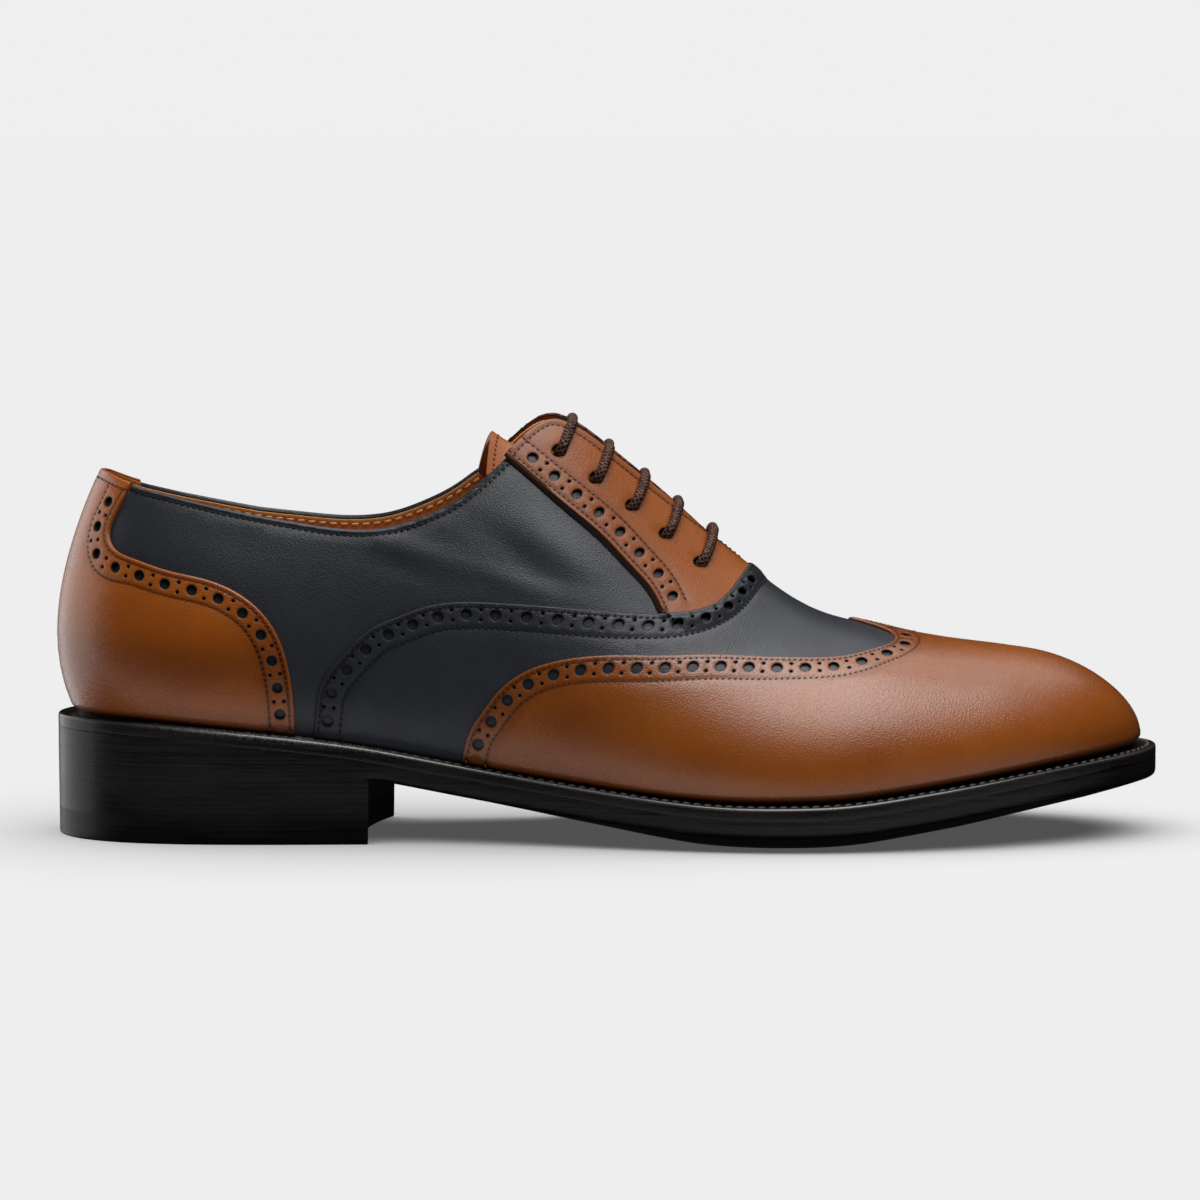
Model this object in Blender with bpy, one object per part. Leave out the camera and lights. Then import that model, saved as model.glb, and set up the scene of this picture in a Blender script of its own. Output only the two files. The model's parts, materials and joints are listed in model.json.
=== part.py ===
import math

import bmesh
import bpy
import numpy as np
from mathutils import Vector
from mathutils.geometry import delaunay_2d_cdt

# All lengths are millimetres until a mesh is made; X runs to the toe, +Y to the inner side.
MM = 0.001
SOLE_LENGTH = 302.0
UPPER_BACK = 6.0
UPPER_TIP = 295.4
WALL = 1.8
GAP = 0.3
OVERLAY_GAP = 0.55
OVERLAY_THICK = 1.0
WELT_THICK = 3.4
WELT_UNDER_UPPER = 6.0
OUTSOLE_THICK = 4.7
INSOLE_THICK = 2.5
INSOLE_CLEAR = 0.6
TOP_LIFT = 7.5
HEEL_TAPER = 0.2
BREAST_X = 88.9
BREAST_TURN = 2.4
BREAST_HOLLOW = 4.0
TONGUE_THICK = 1.8
LACE_DIAMETER = 2.8
EYELET_DIAMETER = 5.4
EYELET_DEPTH = 12.0
LATERAL, MEDIAL = -1, 1

# Facets: how many rows and columns each faceted piece is made of, and its other meshing sizes.
SOLE_STATIONS = 39
SOLE_ACROSS = (-1.0, -0.85, -0.4, 0.4, 0.85, 1.0)
SOLE_FLATNESS = 6
INSOLE_ACROSS = (-1.0, 0.0, 1.0)
HEEL_ROWS, HEEL_COLUMNS = 12, 7
COLLAR_COLUMNS, FACING_COLUMNS, TOE_COLUMNS, UPPER_ROW_COUNT = 17, 10, 18, 10
TONGUE_ROWS, TONGUE_COLUMNS = 11, 9
EYELET_SEGMENTS = 12
PANEL_PITCH = 6.5
LACE_PITCH = 2.85
WELD = 0.02
UPPER_WELD = 0.05
PANEL_WELD = 0.2
SHARP_ANGLE = math.radians(40)

# Plan of the feather edge, where the upper meets the welt, and how far the sole stands out beyond it.
FEATHER_PLAN = (  # x, lateral half-width, medial half-width, sole margin
    (6.0, 0.0, 0.0, 6.0),
    (9.0, 12.0, 12.0, 5.4),
    (20.0, 22.6, 22.6, 4.6),
    (40.0, 28.0, 28.4, 4.0),
    (65.0, 29.0, 28.4, 3.6),
    (90.0, 28.6, 26.0, 3.4),
    (115.0, 30.6, 25.0, 3.6),
    (140.0, 35.6, 28.0, 4.4),
    (165.0, 41.4, 34.6, 5.4),
    (190.0, 45.3, 41.6, 6.2),
    (210.0, 45.3, 45.2, 6.5),
    (230.0, 42.2, 44.8, 6.5),
    (250.0, 36.4, 40.0, 6.5),
    (270.0, 27.4, 32.0, 6.5),
    (285.0, 17.2, 23.0, 6.6),
    (291.0, 10.4, 17.0, 6.6),
    (295.4, -3.0, 3.0, 6.6),
)
# Side profile: the feather edge and the ridge over the instep, a virtual cone behind the throat.
FEATHER_HEIGHT = (  # x, height
    (0.0, 33.4), (20.0, 33.0), (40.0, 31.6), (65.0, 29.2), (85.0, 26.6), (105.0, 23.0), (130.0, 18.8),
    (158.0, 14.9), (180.0, 12.8), (200.0, 12.6), (215.0, 13.2), (230.0, 15.0), (245.0, 17.1),
    (266.0, 20.2), (288.0, 23.0), (302.0, 24.4),
)
RIDGE_HEIGHT = (  # x, height
    (6.0, 110.0), (40.0, 115.0), (70.0, 118.5), (100.0, 122.0), (120.0, 121.6), (136.0, 117.6),
    (146.0, 111.6), (157.0, 102.6), (168.0, 92.4), (179.0, 81.8), (190.0, 71.6), (200.0, 64.0),
    (210.0, 58.8), (220.0, 56.0), (232.0, 53.0), (245.0, 50.6), (256.0, 49.3), (270.0, 47.4),
)
RIDGE_PLAN = ((6.0, 0.0), (100.0, 0.0), (150.0, 0.0), (200.0, 3.0), (250.0, 4.0), (295.4, 3.0))  # x, y
# Rib shape: how far the wall bellies out and where its flank and shoulder turn in to the ridge.
RIB_SHAPE = (  # x, low belly, wall belly, flank share, shoulder share, crown share
    (6.0, 6.2, 11.6, 0.30, 0.265, 0.95),
    (40.0, 6.0, 7.0, 0.10, 0.40, 0.90),
    (100.0, 6.0, 6.0, 0.20, 0.50, 0.95),
    (145.0, 5.5, 5.5, 0.34, 0.80, 0.98),
    (165.0, 4.8, 4.8, 0.38, 0.86, 0.965),
    (185.0, 3.7, 3.7, 0.34, 0.80, 0.985),
    (205.0, 2.8, 2.8, 0.24, 0.58, 1.00),
    (250.0, 2.0, 1.5, 0.16, 0.50, 1.00),
    (295.4, 1.0, 0.5, 0.27, 0.60, 1.00),
)
RIB_LEVELS = (0.0, 0.16, 0.42, 0.71)
HEEL_FAN, HEEL_FAN_FROM = 20.0, 60.0
TOE_FAN, TOE_FAN_FROM = 30.0, 235.0
# Underside of the outsole: how far its middle swells below the edge.
SOLE_SWELL = (  # x, swell
    (90.0, 0.0), (120.0, 0.8), (150.0, 2.4), (175.0, 4.2), (200.0, 4.9), (220.0, 4.9), (245.0, 4.2),
    (280.0, 2.2), (302.0, 0.0),
)

# Pattern pieces, drafted on the flattened last: columns along the feather edge and up the girth.
TOPLINE = (
    (0.0, 69.0), (8.7, 68.6), (26.0, 64.6), (49.5, 60.9), (77.0, 58.9), (90.3, 59.1), (98.7, 60.7),
    (109.1, 65.5), (120.0, 73.2), (125.4, 78.7), (132.3, 87.0),
)
THROAT = (  # along, distance from the ridge
    (132.3, 23.2), (134.1, 20.7), (139.9, 13.0), (144.6, 8.4), (148.5, 6.9), (152.0, 6.4), (160.0, 6.2),
    (169.0, 5.4), (178.0, 4.2), (188.0, 2.4), (198.0, 0.0),
)
COUNTER_EDGE = (
    (75.6, 0.6), (75.2, 11.3), (74.1, 18.8), (71.9, 26.0), (67.6, 32.7), (60.7, 37.9), (51.3, 41.0),
    (41.9, 42.3), (31.4, 44.9), (24.9, 47.5), (22.4, 51.1), (23.1, 57.0), (26.0, 64.6),
)
VAMP_EDGE = (
    (80.4, 0.6), (81.3, 8.6), (82.4, 15.0), (86.0, 21.2), (90.0, 26.2), (96.1, 32.6), (103.0, 36.9),
    (111.7, 41.6), (128.7, 45.6), (149.6, 47.7), (170.6, 49.9), (184.7, 53.7), (191.2, 58.5),
    (195.1, 65.1), (198.6, 74.3), (200.4, 80.7),
)
WING_EDGE = (
    (120.8, 0.6), (123.2, 10.2), (126.5, 15.8), (131.2, 22.5), (138.8, 29.0), (149.6, 33.7), (160.5, 36.3),
    (175.3, 38.4), (190.1, 40.8), (202.7, 41.7), (217.6, 42.6), (226.9, 43.7), (233.5, 46.3), (238.5, 49.9),
    (240.0, 53.8), (239.2, 59.4), (235.3, 65.0), (228.0, 70.5),
)
EYESTAY_EDGE = (
    (133.0, 87.1), (138.4, 83.5), (149.3, 76.2), (159.7, 69.3), (166.6, 63.2), (172.7, 57.2), (175.8, 51.3),
)
EYELETS = ((146.7, 92.0), (156.8, 86.8), (166.8, 81.8), (176.2, 76.3), (185.9, 70.5))
TONGUE = (  # x, height on the ridge, half-width, fall to its sides
    (119.5, 110.0, 12.0, 11.0),
    (125.0, 106.6, 12.4, 13.2),
    (131.0, 105.4, 12.4, 15.8),
    (138.0, 103.6, 12.0, 17.3),
    (150.0, 96.2, 11.5, 17.5),
    (168.0, 81.6, 11.5, 15.5),
    (176.0, 74.6, 12.0, 13.5),
    (186.0, 67.6, 12.5, 10.0),
    (193.0, 64.0, 13.0, 8.0),
    (198.0, 62.2, 13.0, 7.0),
)
# One eyelet passage of the lace, from inside to the ridge: way to the ridge, shift to the toe, height.
LACE_TURN = ((-0.7, 0.0, -1.0), (-0.4, 0.0, 1.0), (0.8, 0.1, 3.0), (3.2, 0.5, 3.7))
LACE_SHIFT = 1.8
LACE_OVER = 3.7
LACE_UNDER = -3.8
LACE_DIP = 1.9

COLOURS = {  # linear colour, roughness
    "tan_leather": ((0.262, 0.082, 0.024), 0.45),
    "navy_leather": ((0.022, 0.026, 0.036), 0.5),
    "black_leather": ((0.010, 0.009, 0.009), 0.4),
    "black_rubber": ((0.012, 0.012, 0.012), 0.7),
    "insole_leather": ((0.30, 0.13, 0.05), 0.6),
    "brown_cord": ((0.035, 0.018, 0.012), 0.55),
}


def spline(knots, values):
    """Natural cubic through the knots, for arrays."""
    knots, values = np.asarray(knots, float), np.asarray(values, float)
    count, step = len(knots), np.diff(knots)
    system, right = np.eye(count), np.zeros(count)
    for i in range(1, count - 1):
        system[i, i - 1 : i + 2] = step[i - 1], 2 * (step[i - 1] + step[i]), step[i]
        right[i] = 6 * ((values[i + 1] - values[i]) / step[i] - (values[i] - values[i - 1]) / step[i - 1])
    bend = np.linalg.solve(system, right)

    def at(where):
        where = np.asarray(where, float)
        i = np.clip(np.searchsorted(knots, where) - 1, 0, count - 2)
        a, b = (knots[i + 1] - where) / step[i], (where - knots[i]) / step[i]
        curl = (a**3 - a) * bend[i] + (b**3 - b) * bend[i + 1]
        return a * values[i] + b * values[i + 1] + curl * step[i] ** 2 / 6

    return at


def column(table, index):
    return [row[index] for row in table]


def turn_of(x):
    """Station angle: 0 at the heel's back, pi at the toe's tip, so both ends come out round."""
    share = (np.asarray(x, float) - UPPER_BACK) / (UPPER_TIP - UPPER_BACK)
    return np.arccos(np.clip(1 - 2 * share, -1, 1))


def x_of(turn):
    return UPPER_BACK + (UPPER_TIP - UPPER_BACK) * (1 - np.cos(turn)) / 2


PLAN_TURNS = turn_of(column(FEATHER_PLAN, 0))
HALF_WIDTH = {
    LATERAL: spline(PLAN_TURNS, column(FEATHER_PLAN, 1)),
    MEDIAL: spline(PLAN_TURNS, column(FEATHER_PLAN, 2)),
}
MARGIN = spline(PLAN_TURNS, column(FEATHER_PLAN, 3))
FEATHER = spline(column(FEATHER_HEIGHT, 0), column(FEATHER_HEIGHT, 1))
RIDGE = spline(column(RIDGE_HEIGHT, 0), column(RIDGE_HEIGHT, 1))
RIDGE_Y = spline(column(RIDGE_PLAN, 0), column(RIDGE_PLAN, 1))
SHAPE = [spline(turn_of(column(RIB_SHAPE, 0)), column(RIB_SHAPE, i)) for i in range(1, 6)]


def feather_plan(side, turn):
    return x_of(turn), side * HALF_WIDTH[side](turn)


def ridge_x(x):
    heel = HEEL_FAN * np.clip((HEEL_FAN_FROM - x) / (HEEL_FAN_FROM - UPPER_BACK), 0, 1) ** 2
    toe = TOE_FAN * np.clip((x - TOE_FAN_FROM) / (UPPER_TIP - TOE_FAN_FROM), 0, 1) ** 2
    return x + heel - toe


def rib(side, turn, t):
    """Point of the last on one side: t runs from the feather edge at 0 to the ridge at 1."""
    x, y = feather_plan(side, turn)
    z = FEATHER(x)
    top_x = ridge_x(x)
    top_y, top_z = RIDGE_Y(top_x), RIDGE(top_x)
    width = np.hypot(top_x - x, top_y - y)
    way_x, way_y = (top_x - x) / width, (top_y - y) / width
    low, wall, flank, shoulder, crown = (part(turn) for part in SHAPE)
    rise = top_z - z
    slope = (RIDGE(top_x + 0.5) - RIDGE(top_x - 0.5)) * way_x
    crown_z = crown * rise - slope * width * (1 - shoulder)
    inset = (0 * width, -low, -wall, flank * width, shoulder * width, width)
    height = (*(level * rise for level in RIB_LEVELS), crown_z, rise)
    degree = len(inset) - 1
    weight = [math.comb(degree, k) * t**k * (1 - t) ** (degree - k) for k in range(degree + 1)]
    d = sum(w * value for w, value in zip(weight, inset))
    h = sum(w * value for w, value in zip(weight, height))
    return np.stack([x + way_x * d, y + way_y * d, z + h], -1)


# Flattened last: "along" is measured from the heel's back on the feather edge, "up" is girth above it.
STATIONS, RUNGS = 241, 61
STATION_TURNS = np.linspace(0, np.pi, STATIONS)


def flatten():
    t = np.linspace(0, 1, 4 * RUNGS)
    edge = [np.stack(feather_plan(side, STATION_TURNS), -1) for side in (LATERAL, MEDIAL)]
    steps = sum(np.linalg.norm(np.diff(line, axis=0), axis=1) for line in edge) / 2
    along = np.concatenate([[0], np.cumsum(steps)])
    length, even = np.zeros(STATIONS), np.zeros((STATIONS, RUNGS))
    for i, turn in enumerate(STATION_TURNS):
        ribs = [rib(side, turn, t) for side in (LATERAL, MEDIAL)]
        steps = sum(np.linalg.norm(np.diff(line, axis=0), axis=1) for line in ribs) / 2
        up = np.concatenate([[0], np.cumsum(steps)])
        length[i] = up[-1]
        even[i] = np.interp(np.linspace(0, up[-1], RUNGS), up, t)
    return along, length, even


ALONG, GIRTH, EVEN = flatten()


def girth(along):
    return np.interp(along, ALONG, GIRTH)


def along_of(x):
    return np.interp(turn_of(x), STATION_TURNS, ALONG)


def last_point(side, along, up):
    """Point of the last from its flattened place."""
    along, up = np.broadcast_arrays(np.asarray(along, float), np.asarray(up, float))
    turn = np.interp(along, ALONG, STATION_TURNS)
    row = np.clip(turn / np.pi * (STATIONS - 1), 0, STATIONS - 1.001)
    rung = np.clip(up / girth(along), 0, 1) * (RUNGS - 1.001)
    i, j = row.astype(int), rung.astype(int)
    a, b = row - i, rung - j
    low = EVEN[i, j] * (1 - b) + EVEN[i, j + 1] * b
    high = EVEN[i + 1, j] * (1 - b) + EVEN[i + 1, j + 1] * b
    return rib(side, turn, low * (1 - a) + high * a)


def last_normal(side, along, up):
    """Outward normal, by differences that stay inside the flattened last."""
    h = 0.4
    most = girth(along)
    a0, a1 = np.clip(along - h, 0, ALONG[-1]), np.clip(along + h, 0, ALONG[-1])
    share = np.clip(up / most, 0, 1)
    s0, s1 = np.clip(share - h / most, 0, 1), np.clip(share + h / most, 0, 1)
    d_along = last_point(side, a1, share * girth(a1)) - last_point(side, a0, share * girth(a0))
    d_up = last_point(side, along, s1 * most) - last_point(side, along, s0 * most)
    normal = np.cross(d_along, d_up) * -side
    return normal / np.linalg.norm(normal, axis=-1, keepdims=True)


def offset_point(side, along, up, offset):
    return last_point(side, along, up) + last_normal(side, along, up) * np.asarray(offset)[..., None]


def plan_normal(side, turn):
    """Outward direction of the feather edge in plan."""
    h = 1e-3
    a0, a1 = np.clip(turn - h, 0, np.pi), np.clip(turn + h, 0, np.pi)
    x0, y0 = feather_plan(side, a0)
    x1, y1 = feather_plan(side, a1)
    dx, dy = x1 - x0, y1 - y0
    ends = (turn < h) | (turn > np.pi - h)
    dx, dy = np.where(ends, 0.0, dx), np.where(ends, np.where(turn < h, side, -side), dy)
    size = np.hypot(dx, dy)
    return -side * dy / size, side * dx / size


def outline(side, turn, margin):
    x, y = feather_plan(side, turn)
    nx, ny = plan_normal(side, turn)
    return x + nx * margin, y + ny * margin


def welt_top(x):
    return FEATHER(x) - GAP


def sole_edge(x):
    """Underside of the outsole at its rim."""
    return welt_top(x) - WELT_THICK - GAP - OUTSOLE_THICK


def swell(x):
    return np.interp(x, column(SOLE_SWELL, 0), column(SOLE_SWELL, 1))


TOPLINE_UP = spline(column(TOPLINE, 0), column(TOPLINE, 1))
THROAT_GAP = spline(column(THROAT, 0), column(THROAT, 1))
CORNER, THROAT_END = THROAT[0][0], THROAT[-1][0]
TIP = ALONG[-1]


def top_edge(along):
    """Girth at the upper's top edge: collar, then facing, then the closed ridge."""
    along = np.asarray(along, float)
    facing = girth(along) - np.where(along < THROAT_END, THROAT_GAP(np.minimum(along, THROAT_END)), 0.0)
    return np.where(along < CORNER, TOPLINE_UP(np.minimum(along, CORNER)), facing)


def material(name):
    if name in bpy.data.materials:
        return bpy.data.materials[name]
    colour, roughness = COLOURS[name]
    made = bpy.data.materials.new(name)
    made.use_nodes = True
    shader = made.node_tree.nodes["Principled BSDF"]
    shader.inputs["Base Color"].default_value = (*colour, 1.0)
    shader.inputs["Roughness"].default_value = roughness
    shader.inputs["Metallic"].default_value = 0.0
    return made


def place(points):
    """Millimetres from the heel's back to metres about the middle of the sole."""
    points = np.asarray(points, float)
    return (points - (SOLE_LENGTH / 2, 0.0, 0.0)) * MM


def add_object(name, mesh, slot):
    mesh.materials.append(material(slot))
    piece = bpy.data.objects.new(name, mesh)
    bpy.context.scene.collection.objects.link(piece)
    return piece


def mesh_object(name, points, faces, slot, weld=WELD):
    """Object from points in millimetres, with doubles merged and normals turned out."""
    shape = bmesh.new()
    verts = [shape.verts.new(p) for p in place(points)]
    for face in faces:
        if len(set(face)) == len(face):
            shape.faces.new([verts[i] for i in face])
    bmesh.ops.remove_doubles(shape, verts=shape.verts, dist=weld * MM)
    if not any(edge.is_boundary for edge in shape.edges):
        bmesh.ops.recalc_face_normals(shape, faces=shape.faces)
    mesh = bpy.data.meshes.new(name)
    shape.to_mesh(mesh)
    shape.free()
    mesh.shade_smooth()
    mesh.set_sharp_from_angle(angle=SHARP_ANGLE)
    return add_object(name, mesh, slot)


def sheet_faces(rows, columns, start=0, flip=False):
    faces = []
    for i in range(rows - 1):
        for j in range(columns - 1):
            a = start + i * columns + j
            face = (a, a + columns, a + columns + 1, a + 1)
            faces.append(face[::-1] if flip else face)
    return faces


def slab(name, top, bottom, slot):
    """Closed solid between two grids of the same size."""
    rows, columns = top.shape[:2]
    points = np.concatenate([top.reshape(-1, 3), bottom.reshape(-1, 3)])
    second = rows * columns
    faces = sheet_faces(rows, columns, 0) + sheet_faces(rows, columns, second, True)
    ring = [j for j in range(columns)]
    ring += [i * columns + columns - 1 for i in range(1, rows)]
    ring += [(rows - 1) * columns + j for j in range(columns - 2, -1, -1)]
    ring += [i * columns for i in range(rows - 2, 0, -1)]
    for a, b in zip(ring, ring[1:] + ring[:1]):
        faces.append((a, b, b + second, a + second))
    return mesh_object(name, points, faces, slot)


def solidify(piece, thickness, offset):
    wall = piece.modifiers.new("wall", "SOLIDIFY")
    wall.thickness = thickness * MM
    wall.offset = offset
    wall.use_even_offset = True


SOLE_TURNS = np.linspace(0, np.pi, SOLE_STATIONS)


def across(turns, margin, shares):
    """Plan grid between the lateral and medial outline."""
    left = np.stack(outline(LATERAL, turns, margin(turns)), -1)[:, None]
    right = np.stack(outline(MEDIAL, turns, margin(turns)), -1)[:, None]
    share = (np.asarray(shares)[None, :, None] + 1) / 2
    return left * (1 - share) + right * share


def outsole():
    plan = across(SOLE_TURNS, MARGIN, SOLE_ACROSS)
    x = plan[..., 0]
    edge = sole_edge(x)
    low = np.maximum(edge - swell(x) * (1 - np.power(SOLE_ACROSS, SOLE_FLATNESS)), 0.0)
    top = np.concatenate([plan, (edge + OUTSOLE_THICK)[..., None]], -1)
    bottom = np.concatenate([plan, low[..., None]], -1)
    slab("outsole", top, bottom, "black_leather")


def welt():
    around = [(LATERAL, turn) for turn in SOLE_TURNS] + [(MEDIAL, turn) for turn in SOLE_TURNS[-2:0:-1]]
    points = []
    for side, turn in around:
        out, under = MARGIN(turn), -WELT_UNDER_UPPER
        for margin, drop in ((out, 0), (out, 1), (under, 1), (under, 0)):
            x, y = outline(side, turn, margin)
            points.append((x, y, welt_top(x) - drop * WELT_THICK))
    count = len(around)
    faces = []
    for i in range(count):
        for k in range(4):
            a, b = 4 * i, 4 * ((i + 1) % count)
            faces.append((a + k, b + k, b + (k + 1) % 4, a + (k + 1) % 4))
    mesh_object("welt", points, faces, "black_leather")


def heel_grid(low, high):
    """Plan of the heel at each share from back to breast, with the heights of two levels."""
    steps = np.linspace(0, 1, HEEL_ROWS)
    shares = np.linspace(-1, 1, HEEL_COLUMNS)
    breast = BREAST_X + BREAST_TURN * shares - BREAST_HOLLOW * (1 - shares**2)
    x = breast[None, :] * (1 - np.cos(steps * np.pi / 2))[:, None]
    left, right = sole_plan(LATERAL, x), sole_plan(MEDIAL, x)
    y = left + (right - left) * (shares + 1) / 2
    plan = np.stack([x, y], -1)
    middle = np.array((BREAST_X / 2, 0.0))

    def level(height):
        z = height(x)
        shrink = 1 - HEEL_TAPER / middle[0] * (1 - z / sole_edge(x))
        return np.concatenate([middle + (plan - middle) * shrink[..., None], z[..., None]], -1)

    return level(high), level(low)


def sole_plan(side, x):
    """Half-width of the outsole at x."""
    turns = np.linspace(0, np.pi, 721)
    ox, oy = outline(side, turns, MARGIN(turns))
    return np.interp(x, ox, oy)


def heel():
    stack = heel_grid(lambda x: 0 * x + TOP_LIFT + GAP, lambda x: sole_edge(x) - GAP)
    slab("heel_stack", *stack, "black_leather")
    lift = heel_grid(lambda x: 0 * x, lambda x: 0 * x + TOP_LIFT)
    slab("top_lift", *lift, "black_rubber")


def insole():
    plan = across(SOLE_TURNS[1:-1], lambda turns: 0 * turns - WALL - INSOLE_CLEAR, INSOLE_ACROSS)
    low = FEATHER(plan[..., 0])[..., None]
    top = np.concatenate([plan, low + INSOLE_THICK], -1)
    bottom = np.concatenate([plan, low], -1)
    slab("insole", top, bottom, "insole_leather")


UPPER_COLUMNS = np.concatenate([
    np.linspace(0, CORNER, COLLAR_COLUMNS)[:-1],
    np.linspace(CORNER, THROAT_END, FACING_COLUMNS)[:-1],
    np.linspace(THROAT_END, TIP, TOE_COLUMNS),
])
UPPER_ROWS = np.linspace(0, 1, UPPER_ROW_COUNT)


def upper():
    along = np.repeat(UPPER_COLUMNS[:, None], len(UPPER_ROWS), 1)
    up = UPPER_ROWS[None, :] * top_edge(UPPER_COLUMNS)[:, None]
    points, faces = [], []
    for side in (LATERAL, MEDIAL):
        faces += sheet_faces(len(UPPER_COLUMNS), len(UPPER_ROWS), len(points) * up.size, side == MEDIAL)
        points.append(last_point(side, along, up).reshape(-1, 3))
    piece = mesh_object("upper", np.concatenate(points), faces, "navy_leather", UPPER_WELD)
    solidify(piece, WALL, -1)
    return piece


def tongue():
    rows = np.linspace(TONGUE[0][0], TONGUE[-1][0], TONGUE_ROWS)[:, None]
    height, half, fall = (spline(column(TONGUE, 0), column(TONGUE, k))(rows) for k in (1, 2, 3))
    share = np.linspace(-1, 1, TONGUE_COLUMNS)[None, :]
    x = rows + 0 * share
    points = np.stack([x, RIDGE_Y(x) + half * share, height - fall * share**2], -1)
    piece = mesh_object("tongue", points.reshape(-1, 3), sheet_faces(*points.shape[:2]), "tan_leather")
    solidify(piece, TONGUE_THICK, -1)


def curve_points(table, pitch):
    """Smooth line through the table's points, about one point every pitch."""
    table = np.asarray(table, float)
    length = np.concatenate([[0], np.cumsum(np.linalg.norm(np.diff(table, axis=0), axis=1))])
    where = np.linspace(0, length[-1], max(2, int(round(length[-1] / pitch)) + 1))
    return np.stack([spline(length, table[:, k])(where) for k in range(table.shape[1])], -1)


def beside(line, distance):
    """The line moved to its left on the flattened last."""
    way = np.gradient(line, axis=0)
    way /= np.linalg.norm(way, axis=1, keepdims=True)
    return line + np.stack([-way[:, 1], way[:, 0]], -1) * distance


def inside(loop, points):
    hit = np.zeros(len(points), bool)
    for a, b in zip(loop, np.roll(loop, -1, 0)):
        crosses = (a[1] > points[:, 1]) != (b[1] > points[:, 1])
        with np.errstate(divide="ignore", invalid="ignore"):
            at = (b[0] - a[0]) * (points[:, 1] - a[1]) / (b[1] - a[1]) + a[0]
        hit ^= crosses & (points[:, 0] < at)
    return hit


def clear_of(loop, points, distance):
    near = np.full(len(points), np.inf)
    for a, b in zip(loop, np.roll(loop, -1, 0)):
        run = b - a
        t = np.clip(((points - a) @ run) / max(run @ run, 1e-9), 0, 1)
        near = np.minimum(near, np.linalg.norm(points - a - t[:, None] * run, axis=1))
    return near > distance


def panel(name, loop, slot, sides):
    """Overlay cut from the last's own function, a little outside it."""
    grid = np.stack([
        np.repeat(UPPER_COLUMNS[:, None], len(UPPER_ROWS), 1),
        UPPER_ROWS[None, :] * top_edge(UPPER_COLUMNS)[:, None],
    ], -1).reshape(-1, 2)
    grid = grid[inside(loop, grid)]
    grid = grid[clear_of(loop, grid, PANEL_PITCH * 0.35)]
    flat = [Vector(p) for p in np.concatenate([loop, grid])]
    rim = list(range(len(loop)))
    verts, _, faces, *_ = delaunay_2d_cdt(flat, [], [rim], 1, 1e-6)
    along, up = np.array([v[:] for v in verts]).T
    points, joined = [], []
    for side in sides:
        start = len(points) * len(along)
        joined += [tuple(start + i for i in (face if side == LATERAL else face[::-1])) for face in faces]
        points.append(offset_point(side, along, up, np.full(len(along), OVERLAY_GAP)))
    piece = mesh_object(name, np.concatenate(points), joined, slot, PANEL_WELD)
    solidify(piece, OVERLAY_THICK, 1)
    return piece


def straight(start, end):
    """Points between two places on the flattened last, ends left out."""
    start, end = np.asarray(start, float), np.asarray(end, float)
    count = max(2, int(round(np.linalg.norm(end - start) / PANEL_PITCH)) + 1)
    return np.linspace(start, end, count)[1:-1]


def along_edge(height, start, end):
    """Points on a named edge of the flattened last, ends left out."""
    count = max(2, int(round(abs(end - start) / PANEL_PITCH)) + 1)
    along = np.linspace(start, end, count)[1:-1]
    return np.stack([along, height(along)], -1)


def hem(along):
    return 0 * along + COUNTER_EDGE[0][1]


def overlays():
    low = COUNTER_EDGE[0][1]
    counter = curve_points(COUNTER_EDGE, PANEL_PITCH)
    counter[-1, 1] = top_edge(counter[-1, 0])
    back = (0.0, float(top_edge(0.0)))
    panel("heel_counter", np.concatenate([
        [(0.0, low)], along_edge(hem, 0, counter[0, 0]), counter,
        along_edge(top_edge, counter[-1, 0], 0), [back], straight(back, (0.0, low)),
    ]), "tan_leather", (LATERAL, MEDIAL))

    wing = curve_points(WING_EDGE, PANEL_PITCH)
    wing[-1, 1] = girth(wing[-1, 0])
    tip = (TIP, float(girth(TIP)))
    panel("wing_cap", np.concatenate([
        wing[::-1], along_edge(hem, wing[0, 0], TIP), [(TIP, low)], straight((TIP, low), tip), [tip],
        along_edge(girth, TIP, wing[-1, 0]),
    ]), "tan_leather", (LATERAL, MEDIAL))

    vamp = curve_points(VAMP_EDGE, PANEL_PITCH)
    vamp[-1, 1] = girth(vamp[-1, 0])
    butt = beside(wing, OVERLAY_GAP)
    butt[0, 1] = low
    butt[-1, 1] = girth(butt[-1, 0])
    panel("vamp", np.concatenate([
        vamp[::-1], along_edge(hem, vamp[0, 0], butt[0, 0]), butt,
        along_edge(girth, butt[-1, 0], vamp[-1, 0]),
    ]), "navy_leather", (LATERAL, MEDIAL))

    rear = curve_points(EYESTAY_EDGE, PANEL_PITCH)
    under = beside(vamp, OVERLAY_GAP)
    under = under[(under[:, 0] > rear[-1, 0] + 1.0) & (under[:, 1] < top_edge(under[:, 0]) - 1.0)]
    last = under[-1, 0] + 0.6
    facing = along_edge(top_edge, last + PANEL_PITCH, rear[0, 0])
    rear[-1, 1] = under[0, 1] - 0.4
    for side, name in ((LATERAL, "eyestay_lateral"), (MEDIAL, "eyestay_medial")):
        yield panel(name, np.concatenate([rear, under, facing]), "tan_leather", (side,))


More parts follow.
